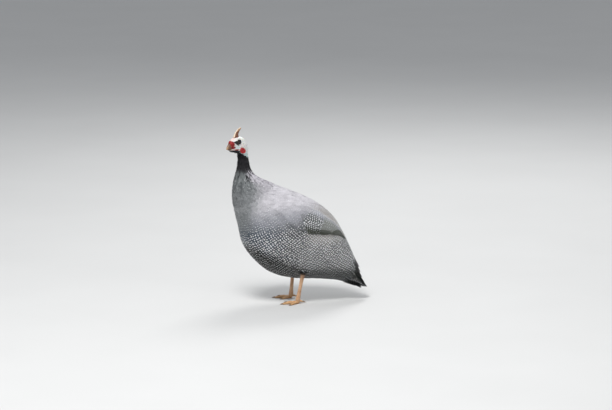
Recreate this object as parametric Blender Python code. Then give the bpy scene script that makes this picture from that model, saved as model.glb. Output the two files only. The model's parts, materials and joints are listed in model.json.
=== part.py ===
"""A helmeted guinea fowl of the lavender kind, life size, standing with its head turned to its left.

Metres, +Z up. The bird faces -X, its left side is -Y, and its soles rest at z = 0.
The body is one run of cross sections from the neck's top to the tail, parted with thin gaps.
"""

import math
import random

import bmesh
import bpy
import numpy as np
from mathutils import Matrix, Vector
from mathutils.bvhtree import BVHTree

SEED = 7
# Gap that touching pieces keep
GAP = 0.0003
BIG = 0.2

# Cross sections of the body from the neck's top to the tail's end, each as
# back x, back z, belly x, belly z, half width, and how full the belly half is
BODY_STATIONS = (
    (-0.1275, 0.3700, -0.1535, 0.3700, 0.0122, 2.0),
    (-0.1262, 0.3510, -0.1548, 0.3500, 0.0132, 2.0),
    (-0.1205, 0.3345, -0.1585, 0.3310, 0.0180, 2.0),
    (-0.1110, 0.3220, -0.1640, 0.3080, 0.0280, 2.0),
    (-0.0930, 0.3110, -0.1670, 0.2750, 0.0450, 2.1),
    (-0.0620, 0.2970, -0.1635, 0.2410, 0.0600, 2.15),
    (-0.0150, 0.2780, -0.1540, 0.2000, 0.0715, 2.15),
    (0.0300, 0.2570, -0.1410, 0.1480, 0.0770, 2.05),
    (0.0640, 0.2340, -0.1100, 0.1060, 0.0770, 1.85),
    (0.0895, 0.2080, -0.0700, 0.0750, 0.0720, 1.6),
    (0.1070, 0.1790, -0.0150, 0.0590, 0.0630, 1.5),
    (0.1215, 0.1500, 0.0450, 0.0550, 0.0490, 1.6),
    (0.1345, 0.1205, 0.0920, 0.0500, 0.0350, 1.8),
    (0.1460, 0.0935, 0.1230, 0.0420, 0.0240, 2.0),
)
BACK_FULLNESS = 2.15
RING_SIDES = 28
RINGS_PER_STATION = 3
NECK_END = 3.0
TORSO_END = 11.6
TAIL_CORE_END = 13.0

# Head: its own frame faces -X with its origin between the eyes
HEAD_CENTRE = Vector((-0.1618, -0.0137, 0.4100))
HEAD_TURN = math.radians(35)
HEAD_CUT = 0.370
HEAD_MIDDLE = (0.004, 0.0, -0.010)
HEAD_TRIANGLES = 2050
HEAD_REACH = 0.07
BILL_BASE = -0.0200
# Rounded masses that make up the head: centre, half sizes, how softly each runs into the rest
HEAD_MASSES = {
    "skull": ((0.0060, 0, -0.0010), (0.0212, 0.0123, 0.0125), 0.006),
    "face": ((-0.0090, 0, -0.0040), (0.0125, 0.0093, 0.0115), 0.006),
    "cere": ((-0.0150, 0, -0.0082), (0.0090, 0.0066, 0.0090), 0.004),
    "cheeks": ((0.0060, 0, -0.0140), (0.0170, 0.0114, 0.0130), 0.006),
    "gape": ((0.0035, 0.0078, -0.0200), (0.0040, 0.0040, 0.0040), 0.003),
}
# Rods with round ends that carry them on: start, end, radius at each, softness
HEAD_RODS = {
    "jaw": ((-0.0020, 0, -0.0180), (-0.0210, 0, -0.0178), 0.0070, 0.0034, 0.005),
    "throat": ((0.0204, 0, -0.0130), (0.0258, 0, -0.0460), 0.0126, 0.0127, 0.008),
}

EYE_RADIUS = 0.0065
EYE_OUT = 0.0078
# Ridges and furrows of the face as distance from a centre line, height or depth, and width
LID = (0.0061, 0.0009, 0.0011)
FURROW = (0.0088, 0.0005, 0.0012)
BROW = (0.0125, 0.0007, 0.0014)
EAR_CUP = (0.0, 0.0014, 0.0014)
EAR_RIM = (0.0030, 0.0006, 0.0009)
NOSTRIL_SLIT = (0.0, 0.0011, 0.0009)
MOUTH_LINE = (0.0, 0.0008, 0.0008)
BROW_CENTRE = (0.001, -0.003)
# Where they lie, as x and z
NOSTRIL = (-0.0165, -0.0060)
NOSTRIL_LENGTH = 1.6
EAR = (0.0165, -0.0070)
GAPE_FRONT = (-0.0200, -0.0142)
GAPE_BACK = (-0.0060, -0.0185)
FOLD_SPACING = 0.0046
FOLD_HEIGHT = 0.00025
FOLDS_BELOW = -0.020

# Bill: length, then the heights of its ridge, mouth edge and keel at base and tip
BILL_LENGTH = 0.0134
BILL_HALF_WIDTH = 0.0052
BILL_RIDGE = (-0.0016, -0.0156)
BILL_EDGE = (-0.0141, -0.0170)
LOWER_BILL_LENGTH = 0.0096
LOWER_BILL_KEEL = (-0.0208, -0.0184)
LOWER_BILL_HALF_WIDTH = 0.0044
BILL_TIP_RADIUS = 0.0006
MOUTH_GAP = 0.0004

# Casque, the horn on the crown, along its middle from base to tip as
# x, z, half length, half width
CASQUE_SPINE = (
    (0.0012, 0.0070, 0.0120, 0.0062),
    (0.0014, 0.0125, 0.0086, 0.0045),
    (0.0026, 0.0178, 0.0062, 0.0036),
    (0.0062, 0.0230, 0.0048, 0.0031),
    (0.0112, 0.0276, 0.0036, 0.0027),
    (0.0160, 0.0306, 0.0024, 0.0020),
    (0.0182, 0.0318, 0.0010, 0.0010),
)

# How much its growth ridges stand out, as a share of its size
CASQUE_RIDGES = 0.035

# Wattles, flat lappets hung from the corners of the mouth and flared out behind
WATTLE_CENTRE = (0.0108, 0.0134, -0.0228)
WATTLE_HALF_LENGTH = 0.0076
WATTLE_HALF_HEIGHT = 0.0076
WATTLE_FLARE = math.radians(25)
WATTLE_THICK = 0.0013
WATTLE_RIM = 0.0011
WATTLE_CUP = 0.0016
WATTLE_LOBES = 0.05

# Wings: a side view from the shoulder to the tip, as u along the wing, upper z, lower z
WING_SHOULDER_X = -0.082
WING_TIP_X = 0.114
WING_OUTLINE = (
    (0.00, 0.252, 0.246),
    (0.12, 0.264, 0.226),
    (0.28, 0.263, 0.197),
    (0.45, 0.252, 0.184),
    (0.62, 0.234, 0.180),
    (0.78, 0.211, 0.177),
    (0.91, 0.186, 0.169),
    (1.00, 0.163, 0.157),
)
WING_DEPTH = 0.0075
WING_GRID = (11, 5)
WING_CORE_LIFT = 0.0004
# Thickness of the wing under its feathers at its edge and middle, most of it sunk in the body
WING_CORE_THICK = (0.004, 0.018)

# Tiers of wing feathers, from the flight feathers up: how many, tip u at the lower and
# upper edge, length in u, spread in v, width in v, lift of the tip, thickness, rows
WING_TIERS = (
    ("primary", 5, (1.00, 0.88), 0.42, (-0.80, -0.15), 0.46, 0.0010, 0.0012, 5),
    ("secondary", 9, (0.80, 0.93), 0.38, (-0.86, 0.90), 0.33, 0.0017, 0.0021, 5),
    ("greater_covert", 8, (0.50, 0.66), 0.24, (-0.88, 0.92), 0.36, 0.0019, 0.0023, 4),
    ("median_covert", 7, (0.35, 0.45), 0.19, (-0.86, 0.92), 0.41, 0.0019, 0.0023, 4),
    ("lesser_covert", 6, (0.23, 0.30), 0.15, (-0.80, 0.90), 0.46, 0.0019, 0.0023, 4),
)
FEATHER_SINK = 0.0016
FEATHER_TILT = 0.0005
FEATHER_CAMBER = 0.0005

# Tiers of tail feathers: how many, x and z of the middle one's root, droop below level in
# degrees, length, then step to the side, spread and tilt in degrees from each to the next,
# width, rows, and 1 if they face up or -1 if down
TAIL_TIERS = (
    ("quill", 14, (0.1310, 0.0900), 55, 0.0760, 0.0023, 1.3, 5.0, 0.0150, 5, 1),
    ("upper_covert", 9, (0.1385, 0.0950), 62, 0.0480, 0.0036, 1.5, 7.0, 0.0130, 4, 1),
    ("rump", 8, (0.1400, 0.1070), 65, 0.0340, 0.0042, 1.6, 8.0, 0.0140, 4, 1),
    ("under_covert", 8, (0.1230, 0.0440), 25, 0.0410, 0.0048, 1.2, 5.0, 0.0140, 3, -1),
)
# How far the outer feathers lie below the middle ones, as in a roof
TAIL_ROOF = 0.00095
# How high a tail feather lies at its root and tip, and how thick it is
TAIL_LIFT = (-0.0002, 0.0006)
TAIL_THICK = 0.0012
# Rings that end the tail's core: middle x and z, half height's x and z, half width
TAIL_CORE_TIP = (
    (0.1478, 0.0512, 0.0088, 0.0112, 0.0205),
    (0.1578, 0.0400, 0.0058, 0.0060, 0.0170),
    (0.1625, 0.0345, 0.0028, 0.0028, 0.0120),
)

# Legs, each as hock, toe joint and the way the middle toe points, in degrees out from ahead
LEGS = {
    "left": {"side": -1, "hock": (0.0040, 0.036, 0.081), "joint": (-0.0100, 0.036, 0.011), "toe_out": 10},
    "right": {"side": 1, "hock": (-0.0065, 0.036, 0.082), "joint": (-0.0125, 0.036, 0.011), "toe_out": 8},
}
KNEE_AHEAD = 0.056
KNEE_UP = 0.062
KNEE_OUT = 0.012
KNEE_RADIUS = 0.034
CUFF_RADIUS = 0.0085
SHANK_RADIUS = 0.0036
HOCK_RADIUS = 0.0062
# How far above the hock's middle the thigh meets the shank, in hock radii
HOCK_CUT = 0.6
SCUTE_HEIGHT = 0.0003
JOINT_RADIUS = 0.0052

# Toes: length, turn from the middle toe in degrees, base radius
TOES = {
    "middle": (0.0400, 0, 0.0043),
    "inner": (0.0285, -36, 0.0039),
    "outer": (0.0320, 34, 0.0040),
    "hind": (0.0130, 172, 0.0030),
}
# The hind toe's root stands this much higher than the others
HIND_RISE = 0.0062
TOE_PADS = 3
TOE_SIDES = 8
CLAW_LENGTH = 0.0085
CLAW_RADIUS = 0.0019

COLOURS = {
    "feather": ((0.52, 0.53, 0.56), 0.75),
    "dark_feather": ((0.06, 0.06, 0.07), 0.8),
    "face_skin": ((0.86, 0.88, 0.90), 0.55),
    "red_skin": ((0.62, 0.03, 0.03), 0.5),
    "horn": ((0.45, 0.30, 0.18), 0.45),
    "leg_skin": ((0.80, 0.50, 0.33), 0.5),
    "claw": ((0.30, 0.20, 0.14), 0.4),
    "eye": ((0.02, 0.015, 0.012), 0.08),
}


def material(name):
    """The material of that name, made once."""
    made = bpy.data.materials.get(name)
    if made is None:
        colour, roughness = COLOURS[name]
        made = bpy.data.materials.new(name)
        made.use_nodes = True
        shader = made.node_tree.nodes["Principled BSDF"]
        shader.inputs["Base Color"].default_value = (*colour, 1.0)
        shader.inputs["Roughness"].default_value = roughness
        shader.inputs["Metallic"].default_value = 0.0
    return made


def face_outwards(mesh):
    """Turns a mesh right side out if its volume comes out negative."""
    mesh.calc_loop_triangles()
    volume = 0.0
    for triangle in mesh.loop_triangles:
        a, b, c = (mesh.vertices[v].co for v in triangle.vertices)
        volume += a.dot(b.cross(c))
    if volume < 0:
        mesh.flip_normals()


def add_object(name, points, faces, finish):
    """A mesh object of these points and faces."""
    mesh = bpy.data.meshes.new(name)
    mesh.from_pydata([tuple(p) for p in points], [], faces)
    mesh.validate()
    face_outwards(mesh)
    mesh.materials.append(material(finish))
    mesh.shade_smooth()
    made = bpy.data.objects.new(name, mesh)
    bpy.context.scene.collection.objects.link(made)
    return made


def through(rows, t):
    """The row at t on a smooth curve through the rows, where t counts rows from 0."""
    rows = np.asarray(rows, float)
    last = len(rows) - 1
    i = min(int(t), last - 1)
    f = t - i
    before, here, there, after = (rows[min(max(k, 0), last)] for k in (i - 1, i, i + 1, i + 2))
    cubic = 3 * (here - there) + after - before
    square = 2 * before - 5 * here + 4 * there - after
    return here + 0.5 * f * (there - before + f * (square + f * cubic))


def loft(rings):
    """Points and faces of a closed skin through rings of equal length, capped at both ends."""
    sides = len(rings[0])
    points = [p for ring in rings for p in ring]
    faces = []
    for i in range(len(rings) - 1):
        for k in range(sides):
            a, b = i * sides + k, i * sides + (k + 1) % sides
            faces.append((a, b, b + sides, a + sides))
    faces.append(tuple(reversed(range(sides))))
    faces.append(tuple(range((len(rings) - 1) * sides, len(rings) * sides)))
    return points, faces


def ring_about(centre, along, out, radius_out, radius_side, sides):
    """A ring of points about centre, across the direction along, with its first point towards out."""
    along = Vector(along).normalized()
    out = (Vector(out) - along * Vector(out).dot(along)).normalized()
    side = out.cross(along)
    ring = []
    for k in range(sides):
        a = 2 * math.pi * k / sides
        ring.append(Vector(centre) + out * (radius_out * math.cos(a)) + side * (radius_side * math.sin(a)))
    return ring


def evaluated_mesh(thing):
    """A new mesh of the object with its modifiers applied."""
    graph = bpy.context.evaluated_depsgraph_get()
    return bpy.data.meshes.new_from_object(thing.evaluated_get(graph))


def keep_largest_surface(thing):
    """Drops every separate closed surface but the largest."""
    mesh = thing.data
    owner = list(range(len(mesh.vertices)))

    def root(v):
        while owner[v] != v:
            owner[v] = owner[owner[v]]
            v = owner[v]
        return v

    for edge in mesh.edges:
        a, b = (root(v) for v in edge.vertices)
        owner[a] = b
    area = {}
    for face in mesh.polygons:
        r = root(face.vertices[0])
        area[r] = area.get(r, 0.0) + face.area
    largest = max(area, key=area.get)
    kept = [v for v in range(len(mesh.vertices)) if root(v) == largest]
    place = {v: i for i, v in enumerate(kept)}
    points = [mesh.vertices[v].co.copy() for v in kept]
    faces = [tuple(place[v] for v in face.vertices) for face in mesh.polygons if face.vertices[0] in place]
    finish = mesh.materials[0].name
    name = thing.name
    bpy.data.objects.remove(thing)
    return add_object(name, points, faces, finish)


def combine(thing, others, operation, solver="EXACT"):
    """Joins the others to thing, or cuts them away, and removes them."""
    group = bpy.data.collections.new(thing.name + "_pieces")
    for other in others:
        group.objects.link(other)
    cut = thing.modifiers.new("combine", "BOOLEAN")
    cut.operation = operation
    cut.operand_type = "COLLECTION"
    cut.collection = group
    cut.solver = solver
    finish = thing.data.materials[0]
    thing.data = evaluated_mesh(thing)
    thing.modifiers.clear()
    thing.data.materials.clear()
    thing.data.materials.append(finish)
    for other in others:
        bpy.data.objects.remove(other)
    bpy.data.collections.remove(group)
    return keep_largest_surface(thing)


def cutting_box(low, high):
    """A box used only to cut."""
    x, y, z = zip(low, high)
    points = [(x[i], y[j], z[k]) for i in (0, 1) for j in (0, 1) for k in (0, 1)]
    faces = [(0, 1, 3, 2), (4, 6, 7, 5), (0, 4, 5, 1), (2, 3, 7, 6), (0, 2, 6, 4), (1, 5, 7, 3)]
    return add_object("cutting_box", points, faces, "feather")


def body_ring(t, grow=0.0):
    """The body's cross section at t, in stations from the neck's top."""
    back_x, back_z, belly_x, belly_z, half_width, belly_fullness = through(BODY_STATIONS, t)
    centre = Vector(((back_x + belly_x) / 2, 0, (back_z + belly_z) / 2))
    up = Vector(((back_x - belly_x) / 2, 0, (back_z - belly_z) / 2))
    up_size = up.length + grow
    up.normalize()
    ring = []
    for k in range(RING_SIDES):
        a = 2 * math.pi * k / RING_SIDES
        c, s = math.cos(a), math.sin(a)
        power = 2 / (BACK_FULLNESS if c > 0 else belly_fullness)
        high = math.copysign(abs(c) ** power, c) * up_size
        wide = math.copysign(abs(s) ** power, s) * (half_width + grow)
        ring.append(centre + up * high + Vector((0, wide, 0)))
    return ring


def body_length_rings(start, end, grow=0.0):
    """The body's cross sections from one station to another."""
    count = max(2, round((end - start) * RINGS_PER_STATION) + 1)
    return [body_ring(start + (end - start) * i / (count - 1), grow) for i in range(count)]


def shifted(ring, distance):
    """The ring moved along its own axis, towards the tail if distance is positive."""
    across = (ring[0] - ring[len(ring) // 2]).normalized()
    along = across.cross(Vector((0, 1, 0)))
    if along.x - along.z < 0:
        along.negate()
    return [p + along * distance for p in ring]


def make_neck():
    rings = body_length_rings(0.0, NECK_END)
    rings[0] = [p - Vector((0, 0, GAP / 2)) for p in rings[0]]
    rings[-1] = shifted(rings[-1], -GAP / 2)
    return add_object("neck", *loft(rings), "feather")


def make_torso():
    rings = body_length_rings(NECK_END, TORSO_END)
    rings[0] = shifted(rings[0], GAP / 2)
    rings[-1] = shifted(rings[-1], -GAP / 2)
    return add_object("torso", *loft(rings), "feather")


def vane_share(s):
    """How wide a vane is at s along it, as a share of its full width."""
    base = min(1.0, 0.5 + 1.5 * s)
    end = max(0.0, (s - 0.6) / 0.4)
    return max(0.14, base * (1 - end ** 2.4) ** 0.6)


def make_vane(name, place, rows, root_lift, tip_lift, thick, side=1):
    """A feather's vane, where place gives the point at s along it, c across it and a lift."""
    outer, inner = [], []
    for i in range(rows):
        s = (i / (rows - 1)) ** 0.8
        lift = root_lift + (tip_lift - root_lift) * s
        outer.append([place(s, c, lift + FEATHER_CAMBER * (1 - c * c)) for c in (-1, 0, 1)])
        inner.append([place(s, c, lift - thick) for c in (-1, 0, 1)])
    return plate(name, outer, inner, side, "feather")


def grown_body(grow=GAP):
    """The body a little larger all round, to cut what lies on it."""
    return add_object("grown_body", *loft(body_length_rings(NECK_END - 1, TAIL_CORE_END, grow)), "feather")


def tail_feather_place(tier, index):
    """A function that places points of one tail feather, given s along it, c across it and a lift."""
    _, count, (root_x, root_z), droop, length, step, spread, tilt, width, _, facing = tier
    j = index - (count - 1) / 2
    droop = math.radians(droop)
    way = Vector((math.cos(droop), 0, -math.sin(droop)))
    over = Vector((math.sin(droop), 0, math.cos(droop)))
    fan = Matrix.Rotation(math.radians(spread * j), 3, over)
    way = fan @ way
    roll = Matrix.Rotation(math.radians(tilt * j * facing), 3, way)
    aside = roll @ fan @ Vector((0, 1, 0))
    out = roll @ over * facing
    drop = TAIL_ROOF * (abs(j) * step / TAIL_TIERS[0][5]) ** 1.25
    root = Vector((root_x, step * j, root_z)) - over * (drop * facing)
    length = length - 0.0011 * abs(j) ** 1.3

    def place(s, c, lift):
        half = width / 2 * vane_share(s)
        return root + way * (length * s) + aside * (half * c) + out * lift

    return place


def make_tail():
    """The tail's fleshy core with its quills and coverts in tiers."""
    rings = body_length_rings(TORSO_END, TAIL_CORE_END)
    rings[0] = shifted(rings[0], GAP / 2)
    for x, z, high_x, high_z, half_width in TAIL_CORE_TIP:
        across = Vector((high_x, 0, high_z))
        way = (high_z, 0, -high_x)
        rings.append(ring_about((x, 0, z), way, across, across.length, half_width, RING_SIDES))
    tail = add_object("tail", *loft(rings), "feather")
    vanes = []
    for tier in TAIL_TIERS:
        for index in range(tier[1]):
            place = tail_feather_place(tier, index)
            vanes.append(make_vane(f"{tier[0]}_{index}", place, tier[9], *TAIL_LIFT, TAIL_THICK, tier[10]))
    tail = combine(tail, vanes, "UNION", "MANIFOLD")
    torso = add_object("grown_torso", *loft(body_length_rings(NECK_END, TORSO_END, GAP)), "feather")
    return combine(tail, [torso], "DIFFERENCE", "MANIFOLD")


class BodySide:
    """Where the body's side lies, at a point of the side view."""

    def __init__(self):
        points, faces = loft(body_length_rings(NECK_END, TAIL_CORE_END))
        self.tree = BVHTree.FromPolygons(points, faces)

    def at(self, x, z, side):
        """The point and outward normal on the body's side at x and z."""
        point, normal, _, _ = self.tree.ray_cast(Vector((x, side * BIG, z)), Vector((0, -side, 0)))
        if point is None:
            point, normal, _, _ = self.tree.find_nearest(Vector((x, side * 0.01, z)))
        if normal.y * side < 0:
            normal = -normal
        return point, normal


def wing_edge(u):
    """The wing's x, upper z and lower z at u."""
    us = [row[0] for row in WING_OUTLINE]
    i = min(max(sum(1 for v in us if v <= u) - 1, 0), len(us) - 2)
    t = i + (u - us[i]) / (us[i + 1] - us[i])
    _, upper, lower = through(WING_OUTLINE, min(max(t, 0), len(us) - 1))
    return WING_SHOULDER_X + (WING_TIP_X - WING_SHOULDER_X) * u, upper, lower


def wing_point(body, side, u, v, lift=0.0):
    """A point of the wing's outer face, where v runs from -1 at its lower edge to 1 at its upper."""
    x, upper, lower = wing_edge(u)
    z = (upper + lower) / 2 + v * (upper - lower) / 2
    point, normal = body.at(x, z, side)
    across = max(0.0, 1 - abs(v) ** 5) ** 0.5 if v < 0 else max(0.0, 1 - v * v) ** 0.7
    along = max(0.0, 1 - (2 * min(u, 1) - 1) ** 4) ** 0.5
    return point + normal * (WING_DEPTH * across * along + lift)


def wing_core(name, side, body):
    """The wing under its feathers, reaching into the body."""
    along, across = WING_GRID
    middle = across / 2
    outer, inner = [], []
    for i in range(along + 1):
        u = (i + 0.5) / (along + 1)
        vs = [-1 + 2 * j / across for j in range(across + 1)]
        outer_row = [wing_point(body, side, u, v, WING_CORE_LIFT) for v in vs]
        inner_row = []
        for j, p in enumerate(outer_row):
            share = 1 - abs(j - middle) / middle
            inner_row.append(p - Vector((0, side * between(WING_CORE_THICK, share), 0)))
        outer.append(outer_row)
        inner.append(inner_row)
    return plate(name, outer, inner, side, "feather")


def wing_feather_place(body, side, tier, index, wobble):
    """A function that places points of one wing feather, given s along it, c across it and a lift."""
    _, count, tips, length, spread, width = tier[:6]
    t = index / (count - 1)
    tip_u = tips[0] + (tips[1] - tips[0]) * t + 0.008 * wobble
    tip_v = spread[0] + (spread[1] - spread[0]) * t
    root_u = tip_u - length
    root_v = tip_v * 0.9 + 0.06

    def place(s, c, lift):
        u = root_u + (tip_u - root_u) * s
        v = root_v + (tip_v - root_v) * s + c * width / 2 * vane_share(s)
        return wing_point(body, side, u, v, lift - FEATHER_TILT * c)

    return place


def make_wing(side_name, side, body):
    """A folded wing: flight feathers and coverts in overlapping tiers, cut to lie on the body."""
    chance = random.Random(SEED)
    wing = wing_core(f"wing_{side_name}", side, body)
    vanes = []
    for tier in WING_TIERS:
        tip_lift, thick, rows = tier[6:]
        for index in range(tier[1]):
            place = wing_feather_place(body, side, tier, index, chance.uniform(-1, 1))
            vanes.append(make_vane(f"{tier[0]}_{index}", place, rows, -FEATHER_SINK, tip_lift, thick, side))
    wing = combine(wing, vanes, "UNION", "MANIFOLD")
    return combine(wing, [grown_body()], "DIFFERENCE", "MANIFOLD")


def plate(name, outer, inner, side, finish):
    """A closed plate between two grids of points, split into triangles alike on both faces."""
    rows, columns = len(outer), len(outer[0])
    points = [p for row in outer for p in row] + [p for row in inner for p in row]
    offset = rows * columns
    faces = []

    def place(i, j):
        return i * columns + j

    for i in range(rows - 1):
        for j in range(columns - 1):
            a, b, c, d = place(i, j), place(i + 1, j), place(i + 1, j + 1), place(i, j + 1)
            for triangle in ((a, b, c), (a, c, d)):
                faces.append(triangle)
                faces.append(tuple(offset + k for k in reversed(triangle)))
    rim = [place(i, 0) for i in range(rows)]
    rim += [place(rows - 1, j) for j in range(1, columns)]
    rim += [place(i, columns - 1) for i in range(rows - 2, -1, -1)]
    rim += [place(0, j) for j in range(columns - 2, 0, -1)]
    for a, b in zip(rim, rim[1:] + rim[:1]):
        faces.append((b, a, a + offset))
        faces.append((b, a + offset, b + offset))
    if side > 0:
        faces = [tuple(reversed(face)) for face in faces]
    return add_object(name, points, faces, finish)


def ellipsoid_distance(p, centre, radii):
    """About how far points lie outside an ellipsoid."""
    q = (p - np.array(centre)) / np.array(radii)
    size = np.linalg.norm(q, axis=-1)
    slope = np.linalg.norm(q / np.array(radii), axis=-1)
    return size * (size - 1) / np.maximum(slope, 1e-9)


def tapered_rod_distance(p, start, end, start_radius, end_radius):
    """About how far points lie outside a rod with round ends."""
    start, end = np.array(start), np.array(end)
    axis = end - start
    share = np.clip((p - start) @ axis / (axis @ axis), 0, 1)
    radius = start_radius + (end_radius - start_radius) * share
    return np.linalg.norm(p - start - share[..., None] * axis, axis=-1) - radius


def blend_together(a, b, k):
    """The smooth union of two distances, rounded off over k."""
    h = np.clip(0.5 + 0.5 * (b - a) / k, 0, 1)
    return b + (a - b) * h - k * h * (1 - h)


def bump(distance, width):
    """1 where distance is 0, falling away over width."""
    return np.exp(-((distance / width) ** 2))


def raised(distance, ridge):
    """How high a ridge stands at that distance from its middle."""
    middle, height, width = ridge
    return height * bump(distance - middle, width)


def head_distance(p):
    """About how far points lie outside the head, in the head's own frame."""
    x, y, z = p[..., 0], np.abs(p[..., 1]), p[..., 2]
    folded = np.stack([x, y, z], axis=-1)
    shape = None
    for centre, radii, softness in HEAD_MASSES.values():
        mass = ellipsoid_distance(folded, centre, radii)
        shape = mass if shape is None else blend_together(shape, mass, softness)
    for start, end, start_radius, end_radius, softness in HEAD_RODS.values():
        rod = tapered_rod_distance(folded, start, end, start_radius, end_radius)
        shape = blend_together(shape, rod, softness)
    # Only the sides of the head carry lids, brows, ears and nostrils
    on_side = np.clip((y - 0.004) / 0.003, 0, 1)
    from_eye = np.hypot(x, z)
    shape = shape + (raised(from_eye, FURROW) - raised(from_eye, LID)) * on_side
    from_brow = np.hypot(x - BROW_CENTRE[0], z - BROW_CENTRE[1])
    shape = shape - raised(from_brow, BROW) * np.clip(z / 0.004, 0, 1) * on_side
    along = x - NOSTRIL[0]
    from_nostril = np.hypot(along / NOSTRIL_LENGTH, z - NOSTRIL[1] - along / 4)
    shape = shape + raised(from_nostril, NOSTRIL_SLIT) * on_side
    from_ear = np.hypot(x - EAR[0], z - EAR[1])
    shape = shape + (raised(from_ear, EAR_CUP) - raised(from_ear, EAR_RIM)) * on_side
    share = np.clip((x - GAPE_FRONT[0]) / (GAPE_BACK[0] - GAPE_FRONT[0]), 0, 1)
    line_x = between((GAPE_FRONT[0], GAPE_BACK[0]), share)
    line_z = between((GAPE_FRONT[1], GAPE_BACK[1]), share ** 1.4)
    shape = shape + raised(np.hypot(x - line_x, z - line_z), MOUTH_LINE)
    # Folds across the upper neck, fading out at its back
    folds = np.sin((x / 2 - z) * 2 * math.pi / FOLD_SPACING)
    folds = folds * np.clip((FOLDS_BELOW - z) / 0.006, 0, 1) * np.clip((0.030 - x) / 0.01, 0, 1)
    return shape - FOLD_HEIGHT * folds


def star_surface(distance, centre, subdivisions, reach):
    """Points and faces of the surface where distance is zero, seen outward from centre."""
    ball = bmesh.new()
    bmesh.ops.create_icosphere(ball, subdivisions=subdivisions, radius=1.0)
    ways = np.array([v.co for v in ball.verts])
    faces = [tuple(v.index for v in face.verts) for face in ball.faces]
    ball.free()
    low, high = np.zeros(len(ways)), np.full(len(ways), reach)
    for _ in range(30):
        middle = (low + high) / 2
        inside = distance(np.array(centre) + ways * middle[:, None]) < 0
        low, high = np.where(inside, middle, low), np.where(inside, high, middle)
    return np.array(centre) + ways * low[:, None], faces


def in_head_frame():
    """From the head's own frame to the bird's."""
    return Matrix.Translation(HEAD_CENTRE) @ Matrix.Rotation(HEAD_TURN, 4, "Z")


def place_in_head(thing):
    """Moves a mesh made in the head's own frame to its place on the bird."""
    thing.data.transform(in_head_frame())
    return thing


def add_ball(name, centre, radii, finish, segments=12, rings=8):
    """A closed ellipsoid."""
    points = [Vector(centre) + Vector((0, 0, radii[2]))]
    for i in range(1, rings):
        polar = math.pi * i / rings
        for k in range(segments):
            a = 2 * math.pi * k / segments
            offset = Vector((math.sin(polar) * math.cos(a), math.sin(polar) * math.sin(a), math.cos(polar)))
            points.append(Vector(centre) + Vector(o * r for o, r in zip(offset, radii)))
    points.append(Vector(centre) - Vector((0, 0, radii[2])))
    faces = []
    for k in range(segments):
        n = (k + 1) % segments
        faces.append((0, 1 + k, 1 + n))
        for i in range(rings - 2):
            a, b = 1 + i * segments + k, 1 + i * segments + n
            faces.append((a, a + segments, b + segments, b))
        base = 1 + (rings - 2) * segments
        faces.append((base + k, len(points) - 1, base + n))
    return add_object(name, points, faces, finish)


def head_skin():
    """Points and faces of the whole head before it is cut, thinned out where it is smooth."""
    points, faces = star_surface(head_distance, HEAD_MIDDLE, 6, HEAD_REACH)
    whole = add_object("whole_head", points, faces, "face_skin")
    thin = whole.modifiers.new("thin", "DECIMATE")
    thin.ratio = HEAD_TRIANGLES / len(faces)
    mesh = evaluated_mesh(whole)
    bpy.data.objects.remove(whole)
    return mesh


def grown_head(mesh):
    """The head a little larger all round, to cut what lies on it."""
    points = [v.co + v.normal * (GAP * 1.5) for v in mesh.vertices]
    faces = [tuple(face.vertices) for face in mesh.polygons]
    return add_object("grown_head", points, faces, "face_skin")


def make_head(mesh):
    """Skull and face, cut flat at the bill and at the neck, with its eye sockets."""
    points = [v.co.copy() for v in mesh.vertices]
    faces = [tuple(face.vertices) for face in mesh.polygons]
    head = add_object("head", points, faces, "face_skin")
    cutters = [
        cutting_box((-BIG, -BIG, -BIG), (BIG, BIG, HEAD_CUT - HEAD_CENTRE.z + GAP / 2)),
        cutting_box((-BIG, -BIG, -BIG), (BILL_BASE, BIG, BIG)),
    ]
    for side in (-1, 1):
        socket = EYE_RADIUS + GAP
        cutters.append(add_ball("socket", (0, side * EYE_OUT, 0), (socket,) * 3, "eye", 14, 10))
    head = combine(head, cutters, "DIFFERENCE")
    return place_in_head(head)


def make_eye(side_name, side):
    eye = add_ball(f"eye_{side_name}", (0, side * EYE_OUT, 0), (EYE_RADIUS,) * 3, "eye", 14, 10)
    return place_in_head(eye)


def half_ring(x, edge_z, tip_z, half_width, sides=10):
    """A D-shaped ring at x, flat along edge_z and arched to tip_z."""
    ring = []
    for k in range(sides):
        a = math.pi * k / (sides - 1)
        y = -half_width * math.cos(a)
        z = edge_z + (tip_z - edge_z) * math.sin(a) ** 0.8
        ring.append(Vector((x, y, z)))
    return ring


def between(ends, share):
    """The value at a share of the way between two ends."""
    return ends[0] + (ends[1] - ends[0]) * share


def make_upper_bill():
    """The upper bill, arched and hooked over the lower."""
    rings = []
    steps = 8
    for i in range(steps + 1):
        s = i / steps
        x = BILL_BASE - GAP - BILL_LENGTH * math.sin(s * math.pi / 2)
        half = BILL_HALF_WIDTH * (1 - s ** 2.2) + BILL_TIP_RADIUS
        rings.append(half_ring(x, between(BILL_EDGE, s ** 2), between(BILL_RIDGE, s ** 2.1), half))
    return place_in_head(add_object("bill_upper", *loft(rings), "horn"))


def make_lower_bill():
    """The lower bill, shorter than the upper and shut against it."""
    rings = []
    steps = 6
    for i in range(steps + 1):
        s = i / steps
        x = BILL_BASE - GAP - LOWER_BILL_LENGTH * s
        along = math.asin(min(1.0, LOWER_BILL_LENGTH * s / BILL_LENGTH)) * 2 / math.pi
        edge = between(BILL_EDGE, along ** 2) - MOUTH_GAP
        half = LOWER_BILL_HALF_WIDTH * (1 - s ** 2.4) + BILL_TIP_RADIUS
        rings.append(half_ring(x, edge, between(LOWER_BILL_KEEL, s ** 2), half))
    return place_in_head(add_object("bill_lower", *loft(rings), "horn"))


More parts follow.
